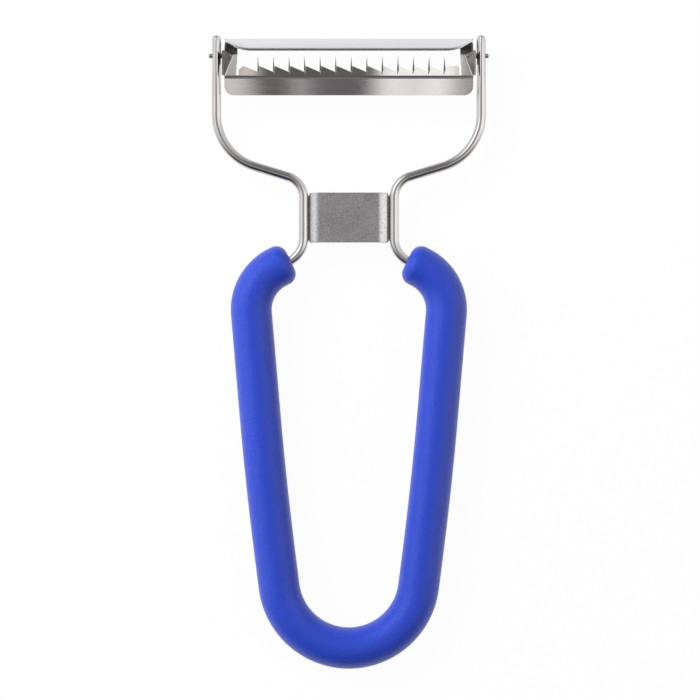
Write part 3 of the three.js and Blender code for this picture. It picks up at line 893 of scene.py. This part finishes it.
def wire_to_collar(sweep, sizes):
    """From the end of an eye's taper to the end of the collar's bend."""
    shoulder_turn = math.pi / 2 - sizes.shoulder_slope
    collar_turn = math.pi / 2 - sizes.collar_slope
    arm_back = setback(sizes.arm_bend, shoulder_turn)
    neck_back = setback(sizes.neck_bend, shoulder_turn)
    collar_back = setback(sizes.collar_bend, collar_turn)
    shoulder = (sizes.arm_span - sizes.neck_span) / 2 / math.sin(shoulder_turn)
    sweep.run(sizes.arm_run, ARM_STEPS)
    sweep.bend(sizes.arm_bend, shoulder_turn)
    sweep.run(shoulder - arm_back - neck_back, SHOULDER_STEPS)
    sweep.bend(sizes.neck_bend, -shoulder_turn)
    sweep.run(sizes.neck_length - neck_back - collar_back, NECK_STEPS)
    sweep.bend(sizes.collar_bend, -collar_turn)
    return sweep


def wire_round_loop(sweep, sizes, skipped=0.0):
    """From the end of the collar's bend to the bottom of the loop, in the middle."""
    loop_turn = math.pi / 2 - sizes.collar_slope + sizes.leg_lean
    sweep.run(sizes.collar_run - skipped, COLLAR_STEPS)
    sweep.bend(sizes.loop_bend, loop_turn)
    bow_back = setback(sizes.leg_bow_bend, sizes.leg_bow)
    sweep.run(sizes.leg_upper - setback(sizes.loop_bend, loop_turn) - bow_back, LEG_STEPS)
    sweep.bend(sizes.leg_bow_bend, sizes.leg_bow, BOW_STEP)
    sweep.run(sizes.leg_lower - bow_back, FOOT_STEPS)
    foot_lean = sizes.leg_lean + sizes.leg_bow
    sweep.bend(-sweep.place.x / math.cos(foot_lean), math.pi / 2 - foot_lean)
    return sweep


def arm_tip(sizes):
    return Vector((-sizes.arm_span / 2, TIP_Y, WIRE_HEIGHT))


class PEELER_OT_wire_frame(bpy.types.Operator):
    """Bend one wire into arms, shoulders, neck, collars and loop, with a drilled eye in each tip"""

    bl_idname = "peeler.wire_frame"
    bl_label = "Wire Frame"

    TIP_STEPS = 9
    EYE_STEPS = 3
    TAPER_STEPS = 16

    def eye_scale(self, sizes, distance):
        """The wire's share of its round section, at a distance from the tip."""
        reach = max(distance - sizes.tip_to_pivot, 0) / sizes.eye_taper
        pressed = smooth(1 - min(reach, 1))
        blunt = max(1 - distance / sizes.tip_round, 0)
        narrowed = math.sqrt(1 - (1 - sizes.tip_flat**2) * blunt * blunt)
        thin = mix(1, sizes.eye_thickness / sizes.wire_diameter, pressed)
        wide = mix(1, sizes.eye_width / sizes.wire_diameter, pressed)
        return (narrowed * thin, 1, narrowed * wide)

    def eye_stops(self, sizes):
        """Distances from the tip, through its round end and the eye to the end of the taper."""
        quarter = math.pi / 2 / self.TIP_STEPS
        for i in range(self.TIP_STEPS):
            yield sizes.tip_round * (1 - math.cos(quarter * (i + 1)))
        for i in range(self.EYE_STEPS):
            yield mix(sizes.tip_round, sizes.tip_to_pivot, (i + 1) / self.EYE_STEPS)
        for i in range(self.TAPER_STEPS):
            yield sizes.tip_to_pivot + sizes.eye_taper / self.TAPER_STEPS * (i + 1)

    def execute(self, context):
        sizes = settings().frame
        finish = settings().finish
        bm = bmesh.new()
        drawn = bm.verts.layers.float_vector.new(DRAWN)
        sweep = ring(bm, arm_tip(sizes), -ALONG, UP, sizes.wire_diameter / 2, WIRE_SIDES, True)
        sweep.drawn = drawn
        sweep.swell(self.eye_scale(sizes, 0))
        sweep.mark()
        for stop in self.eye_stops(sizes):
            sweep.run(stop - sweep.travelled)
            sweep.swell(self.eye_scale(sizes, stop))
        wire_round_loop(wire_to_collar(sweep, sizes), sizes)
        mirrored(bm)
        closed(bm)
        metal = steel(
            "wire_steel",
            finish.wire_steel,
            finish.wire_gloss,
            lines=(9, 9, 260),
            relief=0.000012,
            wear=0.07,
            drawn=True,
        )
        item = piece(bm, "WireFrame", metal, "handle", "wire_frame")
        self.drill(item, sizes)
        return {'FINISHED'}

    def drill(self, item, sizes):
        """Bores both eyes at once, along the pivot."""
        bm = bmesh.new()
        turn = Matrix.Rotation(math.pi / 2, 4, ALONG)
        bmesh.ops.create_cone(
            bm,
            cap_ends=True,
            segments=PIN_SIDES,
            radius1=sizes.pin_hole / 2,
            radius2=sizes.pin_hole / 2,
            depth=2 * sizes.arm_span,
            matrix=Matrix.Translation(PIVOT) @ turn,
        )
        mesh = bpy.data.meshes.new("drill")
        bm.to_mesh(mesh)
        bm.free()
        bored(item, mesh)
        item.data.set_sharp_from_angle(angle=SHARP)


class PEELER_OT_grip_sleeve(bpy.types.Operator):
    """Pull a thick soft sleeve over the loop, with well-rounded ends"""

    bl_idname = "peeler.grip_sleeve"
    bl_label = "Grip Sleeve"

    RIM_STEPS = 10
    MOUTH_STEPS = 4

    def execute(self, context):
        sizes = settings().grip
        wire = settings().frame
        bm = bmesh.new()
        straight = wire.tip_to_pivot + wire.eye_taper
        way = Sweep(bm, [], arm_tip(wire), -ALONG, UP).run(straight)
        way = wire_to_collar(way, wire).run(-sizes.lap)
        skin, rim = self.rim(bm, way, GRIP_RADIUS, -sizes.end_round, self.RIM_STEPS)
        bore, mouth = self.rim(bm, way, sizes.bore / 2, sizes.mouth, self.MOUTH_STEPS)
        bmesh.ops.bridge_loops(bm, edges=rim + mouth)
        wire_round_loop(skin, wire, sizes.end_round - sizes.lap)
        wire_round_loop(bore, wire, sizes.mouth - sizes.lap)
        mirrored(bm)
        closed(bm)
        blue = grip_finish(settings().finish)
        piece(bm, "GripSleeve", blue, "handle", "grip_sleeve")
        return {'FINISHED'}

    def rim(self, bm, way, radius, flare, steps):
        """A tube's rounded rim: it starts wider or narrower by its flare and ends at its radius."""
        reach = abs(flare)
        sweep = ring(bm, way.place, way.heading, UP, radius, GRIP_SIDES, False)
        start = sweep.edges
        grow = (radius + flare) / radius
        sweep.swell((grow, grow, grow))
        for i in range(steps):
            part = math.pi / 2 * (i + 1) / steps
            sweep.run(reach * (1 - math.cos(part)) - sweep.travelled)
            grow = (radius + flare * (1 - math.sin(part))) / radius
            sweep.swell((grow, grow, grow))
        return sweep, start


class PEELER_OT_bridge_plate(bpy.types.Operator):
    """Fold a channel of sheet between the neck wires"""

    bl_idname = "peeler.bridge_plate"
    bl_label = "Bridge Plate"

    FACE_STEPS = 6

    def execute(self, context):
        sizes = settings().bridge
        half_sheet = sizes.sheet / 2
        bm = bmesh.new()
        side = BRIDGE_LOW.x + half_sheet
        back = BRIDGE_LOW.z
        ends = [Vector((side, y, back)) for y in (BRIDGE_LOW.y, BRIDGE_HIGH.y)]
        sweep = line(bm, ends, UP, ALONG)
        depth = BRIDGE_HIGH.z - half_sheet - back
        fold = math.pi / 2 - sizes.ease
        fold_back = setback(sizes.fold_bend, fold)
        ease_back = setback(sizes.ease_bend, sizes.ease)
        slope = fold_back + sizes.fold_run + ease_back
        wall = depth - slope * math.sin(sizes.ease) - fold_back
        sweep.run(wall)
        sweep.bend(sizes.fold_bend, fold, HEM_STEP)
        sweep.run(sizes.fold_run)
        sweep.bend(sizes.ease_bend, sizes.ease)
        sweep.run(-2 * (side + slope * math.cos(sizes.ease) + ease_back), self.FACE_STEPS)
        sweep.bend(sizes.ease_bend, sizes.ease)
        sweep.run(sizes.fold_run)
        sweep.bend(sizes.fold_bend, fold, HEM_STEP)
        sweep.run(wall)
        closed(bm)
        metal = plate_finish(settings().finish)
        item = piece(bm, "BridgePlate", metal, "handle", "bridge_plate")
        thicken(item, sizes.sheet, 0)
        ease(item, sizes.easing)
        return {'FINISHED'}


class PEELER_OT_weld_beads(bpy.types.Operator):
    """Lay a rippled bead of weld between the bridge plate and each neck wire"""

    bl_idname = "peeler.weld_beads"
    bl_label = "Weld Beads"

    SIDES = 12
    RIPPLE_STEPS = 6
    RIPPLE_DEPTH = 0.12
    END_SHARE = 0.5

    def execute(self, context):
        sizes = settings().bridge
        wire = settings().frame
        bm = bmesh.new()
        wire_side = (wire.neck_span - wire.wire_diameter) / 2
        place = Vector((-(wire_side - BRIDGE_LOW.x) / 2, BRIDGE_LOW.y + sizes.bead_inset, 0))
        place.z = WIRE_HEIGHT - sizes.bead_depth
        sweep = ring(bm, place, ALONG, UP, sizes.bead, self.SIDES, True)
        full = BRIDGE_HIGH.y - BRIDGE_LOW.y - 2 * sizes.bead_inset
        steps = round(full / sizes.ripple) * self.RIPPLE_STEPS
        sweep.swell(self.scale(0, steps))
        for i in range(steps):
            sweep.run(full / steps)
            sweep.swell(self.scale(i + 1, steps))
        bmesh.ops.contextual_create(bm, geom=sweep.edges)
        mirrored(bm)
        closed(bm)
        metal = bpy.data.materials["plate_steel"]
        piece(bm, "WeldBeads", metal, "handle")
        return {'FINISHED'}

    def scale(self, step, steps):
        """A bead's share of its radius: ripples along it, and a taper at both ends."""
        ripple = 1 - self.RIPPLE_DEPTH * (1 + math.cos(2 * math.pi * step / self.RIPPLE_STEPS))
        end = min(step, steps - step) / self.RIPPLE_STEPS
        grow = ripple * mix(self.END_SHARE, 1, smooth(min(end, 1)))
        return (grow, grow, grow)


def slanted(rise):
    """A direction in the head's side view, turned from +Y towards +Z."""
    return Vector((0, math.cos(rise), math.sin(rise)))


class PEELER_OT_julienne_comb(bpy.types.Operator):
    """Stamp and fold the head's toothed sheet: guard, flange with fins, end webs and ears"""

    bl_idname = "peeler.julienne_comb"
    bl_label = "Julienne Comb"

    GUARD_STEPS = 9
    CROWN_STEPS = 8
    FOLD_STEPS = 5

    def execute(self, context):
        sizes = settings().comb
        finish = settings().finish
        bm = bmesh.new()
        weights = bm.verts.layers.deform.verify()
        # A face layer for painted shade, which darkens the ears.
        raw = bm.faces.layers.float.new(SHADE_PAINTED_FACES)
        corner = PIVOT + Vector((0, -sizes.bend_drop, sizes.bend_height))
        heading = slanted(sizes.guard_tilt)
        turn = sizes.guard_tilt + sizes.lean
        back = setback(sizes.bend, turn)
        slot = HEAD_HALF - sizes.web_width
        flange = slot - sizes.slit_width
        count = int((flange - sizes.flange_corner + sizes.fin_first) / sizes.fin_pitch) + 1
        fins = [-sizes.fin_first + sizes.fin_pitch * i for i in range(count)]
        half = HEAD_HALF - sizes.inset
        stops = [-half, -slot, -flange, sizes.flange_corner - flange, *fins, flange, slot, half]
        free_edge = corner - heading * sizes.guard_width
        sweep = line(bm, [free_edge + ACROSS * x for x in stops], heading, ACROSS)
        left, *_, right = left_to_right(sweep.verts)
        sweep.run(sizes.guard_width - back)
        sweep.bend(sizes.bend, -turn, HEM_STEP)
        sweep.run(sizes.slit_floor - back)
        chain = left_to_right(sweep.verts)
        points = self.teeth(bm, chain[2:-2], sweep.heading, sizes)
        for low, high in ((chain[0], chain[1]), (chain[-1], chain[-2])):
            self.web(bm, low, high, sweep.heading, sizes, raw)
        rounded(bm, [left, right], 'VERTICES', sizes.guard_corner, self.GUARD_STEPS)
        for vert in bm.verts:
            vert[weights][0] = sizes.fin_point if vert in points else 1.0
        closed(bm)
        metal = steel(
            "comb_steel",
            finish.comb_steel,
            finish.comb_gloss,
            lines=(300, 9000, 9000),
            relief=0.000002,
            wear=0.025,
            raw=finish.shade_painted_steel,
        )
        item = piece(bm, "JulienneComb", metal, "head", "julienne_comb")
        thicken(item, sizes.sheet, 0, THICKNESS)
        ease(item, sizes.easing, 2)
        return {'FINISHED'}

    def raised(self, bm, vert, offset):
        """A new point beside another, joined to it."""
        made = bmesh.ops.extrude_vert_indiv(bm, verts=[vert])
        bmesh.ops.translate(bm, vec=offset, verts=made["verts"])
        return made["verts"][0]

    def teeth(self, bm, chain, heading, sizes):
        """The flange's strip, its sloped teeth, and a fin turned out of each notch."""
        out = ACROSS.cross(heading)
        strip = from_row(bm, chain, heading)
        strip.run(sizes.notch_floor - sizes.slit_floor)
        floor = left_to_right(strip.verts)
        full = heading * (sizes.flange_width - sizes.notch_floor)
        cut = full - heading * sizes.flange_corner
        first = self.raised(bm, floor[0], cut)
        tops = [self.raised(bm, vert, full) for vert in floor[1:-1]]
        last = self.raised(bm, floor[-1], full)
        bmesh.ops.contextual_create(bm, geom=[floor[0], floor[1], tops[0], first])
        for low, top, after in zip(floor[1:], tops[:-1], floor[2:]):
            bmesh.ops.contextual_create(bm, geom=[low, top, after])
        bmesh.ops.contextual_create(bm, geom=[floor[-2], floor[-1], last, tops[-1]])
        points = [self.raised(bm, top, out * sizes.fin_reach) for top in tops[1:]]
        for low, top, point in zip(floor[2:-1], tops[1:], points):
            root = bmesh.utils.edge_split(edge_between(low, top), low, sizes.fin_root)[1]
            bmesh.ops.contextual_create(bm, geom=[root, top, point])
        return set(points)

    def web(self, bm, outer, inner, heading, sizes, raw):
        """An end web with its splayed ear."""
        side = math.copysign(1, outer.co.x)
        splay = sizes.ear_splay
        sweep = from_row(bm, [outer, inner], heading)

        def to_fold():
            vert = max(sweep.verts, key=lambda vert: side * vert.co.x)
            vert.co.x = side * (sizes.ear_at_pin + (vert.co.z - PIVOT.z) * math.tan(splay))
            return vert

        rise = sizes.bend_drop - sizes.ear_foot
        sweep.run(rise / heading.y - sizes.slit_floor)
        foot = to_fold()
        sweep.run((sizes.ear_foot + sizes.web_rise) / heading.y)
        head = to_fold()

        def ear_point(along, up):
            across = side * (sizes.ear_at_pin + up * math.sin(splay))
            return Vector((across, PIVOT.y + along, PIVOT.z + up * math.cos(splay)))

        made = bmesh.ops.extrude_edge_only(bm, edges=[edge_between(foot, head)])["geom"]
        # Painted shade on the ear.
        for face in of_kind(made, bmesh.types.BMFace):
            face[raw] = 1.0
        made = of_kind(made, bmesh.types.BMVert)
        low, high = sorted(made, key=lambda vert: vert.co.y)
        low.co = ear_point(-sizes.ear_foot, sizes.ear_outer)
        high.co = ear_point(sizes.ear_crown, sizes.ear_outer)
        shoulder = bmesh.utils.edge_split(edge_between(high, head), high, 0.5)[1]
        shoulder.co = ear_point(sizes.ear_step, sizes.ear_outer / 4)
        rounded(bm, [high], 'VERTICES', sizes.ear_crown / 2, self.CROWN_STEPS)
        crease = [edge_between(foot, head)]
        fold = rounded(bm, crease, 'EDGES', sizes.ear_fold, self.FOLD_STEPS)
        # The fold's round keeps the plain colour, without painted shade.
        for face in fold:
            face[raw] = 0.0
            for edge in face.edges:
                edge.smooth = fold.issuperset(edge.link_faces)


class PEELER_OT_cutter_blade(bpy.types.Operator):
    """Fold the head's cutting sheet: ground blade, hem, end tabs and end walls"""

    bl_idname = "peeler.cutter_blade"
    bl_label = "Cutter Blade"

    END_STEPS = 14

    def execute(self, context):
        sizes = settings().blade
        finish = settings().finish
        bm = bmesh.new()
        weights = bm.verts.layers.deform.verify()
        # A face layer for painted shade, which darkens the tabs and end walls.
        raw = bm.faces.layers.float.new(SHADE_PAINTED_FACES)
        heading = slanted(-sizes.blade_tilt)
        facing = ACROSS.cross(heading)
        hem = PIVOT + Vector((0, sizes.hem_along, -sizes.hem_drop))
        root = hem + facing * sizes.hem_bend
        inner = HEAD_HALF - sizes.tab_width
        wall = HEAD_HALF - sizes.sheet
        stops = [-HEAD_HALF, -wall, -inner, inner, wall, HEAD_HALF]
        sweep = line(bm, [root + ACROSS * x for x in stops], heading, ACROSS)
        start = left_to_right(sweep.verts)
        turn = math.pi - sizes.blade_tilt + sizes.tab_lean
        sweep.bend(sizes.hem_bend, -turn, HEM_STEP)
        chain = left_to_right(sweep.verts)
        # Painted shade on the tabs and end walls under the blade.
        for face in self.tabs(bm, chain, sweep.heading, sizes):
            face[raw] = 1.0
        keen_edge = self.blade(bm, start, root, -heading, sizes)
        for vert in bm.verts:
            vert[weights][0] = sizes.keen if vert in keen_edge else 1.0
        closed(bm)
        if max(bm.faces, key=lambda face: face.calc_area()).normal.dot(facing) < 0:
            bmesh.ops.reverse_faces(bm, faces=bm.faces)
        metal = steel(
            "blade_steel",
            finish.blade_steel,
            finish.blade_gloss,
            lines=(200, 7000, 7000),
            relief=0.000003,
            wear=0.04,
            raw=finish.shade_painted_steel,
        )
        item = piece(bm, "CutterBlade", metal, "head", "cutter_blade")
        thicken(item, sizes.sheet, 1, THICKNESS)
        ease(item, sizes.easing, 2)
        return {'FINISHED'}

    def blade(self, bm, start, root, up, sizes):
        """The flat blade from the hem to its cutting edge, with a ground band along that edge."""
        top = sizes.blade_width
        begin = Vector((HEAD_HALF - sizes.end_round, top))
        pull = Vector((HEAD_HALF - sizes.end_round / 2, top))
        end = Vector((HEAD_HALF, sizes.end_height))
        shares = [i / self.END_STEPS for i in range(self.END_STEPS + 1)]
        half = [begin * (1 - t) ** 2 + pull * 2 * t * (1 - t) + end * t * t for t in shares]
        outline = [Vector((-p.x, p.y)) for p in reversed(half)] + half
        band = []
        for i, p in enumerate(outline):
            before = outline[max(i - 1, 0)]
            after = outline[min(i + 1, len(outline) - 1)]
            along = (after - before).normalized()
            across = Vector((along.y, -along.x))
            inwards = smooth(min(1, (HEAD_HALF - abs(p.x)) / sizes.end_round))
            band.append(p + across * sizes.ground * mix(sizes.ground_end, 1, inwards))

        def on_blade(points):
            return [root + ACROSS * p.x + up * p.y for p in points]

        edge = left_to_right(line(bm, on_blade(outline), up, ACROSS).verts)
        ground = [bm.verts.new(point) for point in on_blade(band)]
        for i in range(len(ground) - 1):
            bm.faces.new((edge[i], edge[i + 1], ground[i + 1], ground[i]))
        bm.faces.new([edge[0], *ground, edge[-1], *reversed(start)])
        return set(edge)

    def tabs(self, bm, chain, heading, sizes):
        """The strip turned under the hem, the end tabs, and a wall at each end.

        Returns all faces but the strip's.
        """
        strip = from_row(bm, chain[1:-1], heading)
        strip.run(sizes.hem_lip)
        before = set(bm.faces)
        row = left_to_right(strip.verts)
        rise = ACROSS.cross(heading) * -sizes.tab_lip
        foot = (PIVOT.y + sizes.wall_foot - row[0].co.y) / heading.y
        for low, high, root in ((row[0], row[1], chain[1]), (row[-1], row[-2], chain[-2])):
            tab = from_row(bm, [low, high], heading)
            tab.run(foot)
            end = max(tab.verts, key=lambda vert: abs(vert.co.x))
            tab.run(sizes.tab_length - sizes.hem_lip - foot)
            wall = bmesh.ops.extrude_edge_only(bm, edges=[edge_between(low, end)])["geom"]
            wall = of_kind(wall, bmesh.types.BMVert)
            bmesh.ops.translate(bm, vec=rise, verts=wall)
            top = max(wall, key=lambda vert: vert.co.y)
            bmesh.ops.contextual_create(bm, geom=[root, low, top])
        return set(bm.faces) - before


class PEELER_OT_pivot_pins(bpy.types.Operator):
    """Turn a stub pin with a thrust collar for each side of the head"""

    bl_idname = "peeler.pivot_pins"
    bl_label = "Pivot Pins"

    CROWN_CUT = 0.3

    def execute(self, context):
        finish = settings().finish
        metal = steel(
            "pin_steel",
            finish.pin_steel,
            finish.pin_gloss,
            lines=(9000, 900, 900),
            relief=0.000006,
            wear=0.08,
        )
        for name, node, side in (
            ("PivotPinLeft", "pivot_pin_left", -1),
            ("PivotPinRight", "pivot_pin_right", 1),
        ):
            item = piece(self.turned(side), name, metal, "head", node)
            item.data.set_sharp_from_angle(angle=SHARP)
            ease(item, settings().pin.easing, 2)
        return {'FINISHED'}

    def turned(self, side):
        sizes = settings().pin
        radius = sizes.diameter / 2
        collar = radius + sizes.collar_wall
        crown = sizes.crown
        cut = crown * self.CROWN_CUT
        profile = [
            (sizes.inner_end, 0),
            (sizes.inner_end, radius - crown),
            (sizes.inner_end + cut, radius - cut),
            (sizes.inner_end + crown, radius),
            (sizes.collar_from, radius),
            (sizes.collar_from, collar),
            (sizes.collar_to, collar),
            (sizes.collar_to, radius),
            (PIN_END - crown, radius),
            (PIN_END - cut, radius - cut),
            (PIN_END, radius - crown),
            (PIN_END, 0),
        ]
        bm = bmesh.new()
        points = [(side * x, PIVOT.y, PIVOT.z + r) for x, r in profile]
        outline = line(bm, points, UP, ACROSS)
        bmesh.ops.spin(
            bm,
            geom=bm.verts[:] + outline.edges,
            cent=PIVOT,
            axis=ACROSS,
            angle=2 * math.pi,
            steps=PIN_SIDES,
            use_merge=True,
            use_duplicate=False,
        )
        closed(bm)
        return bm


class PEELER_OT_studio(bpy.types.Operator):
    """Set the floor, the lamps, the cards that the steel reflects, and the camera"""

    bl_idname = "peeler.studio"
    bl_label = "Studio"

    def execute(self, context):
        studio = settings().studio
        context.scene.view_settings.view_transform = 'Standard'
        self.world(context, studio)
        self.floor(studio)
        for name, power, place, size, shade in LAMPS:
            self.lamp(name, getattr(studio, power), place, size, shade)
        self.tent()
        for board in BOARDS:
            self.board(*board)
        self.camera(context, studio)
        return {'FINISHED'}

    def seen_by(self, graph):
        """1 for rays from the camera, or by way of metal or glass."""
        path = graph.add('ShaderNodeLightPath').outputs
        seen = graph.math('ADD', path["Is Camera Ray"], path["Is Glossy Ray"])
        seen = graph.math('ADD', seen, path["Is Transmission Ray"])
        return graph.math('MINIMUM', seen, 1.0)

    def world(self, context, studio):
        """Soft light from all round, in front of a white background."""
        world = bpy.data.worlds.new("Studio")
        context.scene.world = world
        world.use_nodes = True
        world.node_tree.nodes.clear()
        graph = Graph(world.node_tree)
        level = graph.spread(self.seen_by(graph), studio.ambient, 1.0)
        light = {"Color": WHITE, "Strength": level}
        graph.end('ShaderNodeBackground', light, 'ShaderNodeOutputWorld')

    def floor(self, studio):
        """A pale floor that looks white and keeps a soft shadow."""
        bm = bmesh.new()
        bmesh.ops.create_grid(bm, x_segments=1, y_segments=1, size=FLOOR_HALF)
        bmesh.ops.translate(bm, vec=(0, 0, -FLOOR_DROP), verts=bm.verts)
        material, graph = new_material("floor")
        matt = graph.add('ShaderNodeBsdfDiffuse', {"Color": (*studio.floor, 1)})
        white = graph.add('ShaderNodeEmission', {"Color": WHITE, "Strength": 1.0})
        part = graph.math('MULTIPLY', self.seen_by(graph), 1 - studio.shadow)
        both = {0: part, 1: matt.outputs["BSDF"], 2: white.outputs["Emission"]}
        graph.end('ShaderNodeMixShader', both)
        placed(bm, "Floor", material)

    def lamp(self, name, power, place, size, shade):
        """A soft lamp aimed at the middle of the set. The tent shows its glow to the steel."""
        data = bpy.data.lights.new(name, 'AREA')
        data.shape = 'RECTANGLE'
        data.size, data.size_y = size
        data.energy = power
        data.color = shade
        item = bpy.data.objects.new(name, data)
        item.location = place
        item.rotation_euler = (-Vector(place)).to_track_quat('-Z', 'Y').to_euler()
        item.visible_glossy = False
        bpy.context.scene.collection.objects.link(item)

    def tent(self):
        """A wide dome round the set: pale at the sides, dark overhead, in front and behind."""
        bm = bmesh.new()
        around, upwards = TENT_SEGMENTS
        bmesh.ops.create_uvsphere(bm, u_segments=around, v_segments=upwards, radius=TENT_RADIUS)
        everything = bm.verts[:] + bm.edges[:] + bm.faces[:]
        bmesh.ops.bisect_plane(
            bm, geom=everything, plane_co=(0, 0, 0), plane_no=UP, clear_inner=True
        )
        material, graph = new_material("tent")
        place = graph.place()
        parts = graph.add('ShaderNodeSeparateXYZ', {"Vector": place}).outputs
        across = graph.ramp(parts["X"], TENT_ACROSS)
        along = graph.ramp(parts["Y"], TENT_ALONG)
        aim = Vector(KEY_PLACE).normalized() / TENT_RADIUS
        patch = graph.add(
            'ShaderNodeMapRange',
            {
                "Value": graph.vector('DOT_PRODUCT', place, aim),
                "From Min": math.cos(KEY_GLOW_EDGE),
                "From Max": math.cos(KEY_GLOW_CORE),
                "To Max": KEY_GLOW,
            },
            interpolation_type='SMOOTHSTEP',
        )
        plain = graph.vector('MULTIPLY', across, along)
        glow = graph.vector('ADD', plain, patch.outputs["Result"])
        self.card(bm, "Tent", material, graph, glow)

    def board(self, name, across, along, up, bands):
        """An upright or level board, striped across."""
        bm = bmesh.new()
        bmesh.ops.create_grid(bm, x_segments=1, y_segments=1, size=1)
        for vert in bm.verts:
            side = vert.co.x > 0
            far = vert.co.y > 0
            vert.co = (across[side], along[far], up[far])
        material, graph = new_material(name)
        parts = graph.add('ShaderNodeSeparateXYZ', {"Vector": graph.place()}).outputs
        self.card(bm, name, material, graph, graph.ramp(parts["X"], bands))

    def card(self, bm, name, material, graph, glow):
        """A glowing part of the set that only reflections show: it gives no light and no shadow."""
        graph.end('ShaderNodeEmission', {"Color": glow, "Strength": CARD_STRENGTH})
        material.cycles.emission_sampling = 'NONE'
        item = placed(bm, name, material)
        item.visible_camera = False
        item.visible_diffuse = False
        item.visible_shadow = False
        item.visible_transmission = False

    def camera(self, context, studio):
        """Straight above the peeler, as in the photograph."""
        data = bpy.data.cameras.new("Camera")
        data.sensor_width = SENSOR_WIDTH
        data.lens = data.sensor_width * studio.camera_height / studio.view_width
        data.clip_start = CLIP_START
        item = bpy.data.objects.new("Camera", data)
        height = WIRE_HEIGHT + studio.camera_height
        item.location = (studio.camera_across, studio.camera_along, height)
        context.scene.collection.objects.link(item)
        context.scene.camera = item


class PEELER_PT_panel(bpy.types.Panel):
    """Lists the peeler's pieces and its studio"""

    bl_idname = "PEELER_PT_panel"
    bl_label = "Julienne Peeler"
    bl_space_type = 'VIEW_3D'
    bl_region_type = 'UI'
    bl_category = "Peeler"

    def draw(self, context):
        for operator in OPERATORS:
            self.layout.operator(operator.bl_idname)
        for name in PeelerSettings.__annotations__:
            group = getattr(context.scene.peeler, name)
            box = self.layout.box()
            box.label(text=name.title())
            for key in group.__annotations__:
                box.prop(group, key)


OPERATORS = (
    PEELER_OT_wire_frame,
    PEELER_OT_grip_sleeve,
    PEELER_OT_bridge_plate,
    PEELER_OT_weld_beads,
    PEELER_OT_julienne_comb,
    PEELER_OT_cutter_blade,
    PEELER_OT_pivot_pins,
    PEELER_OT_studio,
)
GROUPS = (
    PeelerFrameSizes,
    PeelerGripSizes,
    PeelerBridgeSizes,
    PeelerCombSizes,
    PeelerBladeSizes,
    PeelerPinSizes,
    PeelerFinishes,
    PeelerStudio,
    PeelerSettings,
)
CLASSES = (*GROUPS, *OPERATORS, PEELER_PT_panel)


def register():
    for cls in CLASSES:
        bpy.utils.register_class(cls)
    bpy.types.Scene.peeler = PointerProperty(type=PeelerSettings)


def unregister():
    del bpy.types.Scene.peeler
    for cls in reversed(CLASSES):
        bpy.utils.unregister_class(cls)


def main():
    register()
    bpy.ops.peeler.wire_frame()
    bpy.ops.peeler.grip_sleeve()
    bpy.ops.peeler.bridge_plate()
    bpy.ops.peeler.weld_beads()
    bpy.ops.peeler.julienne_comb()
    bpy.ops.peeler.cutter_blade()
    bpy.ops.peeler.pivot_pins()
    bpy.ops.peeler.studio()


if __name__ == "__main__":
    main()
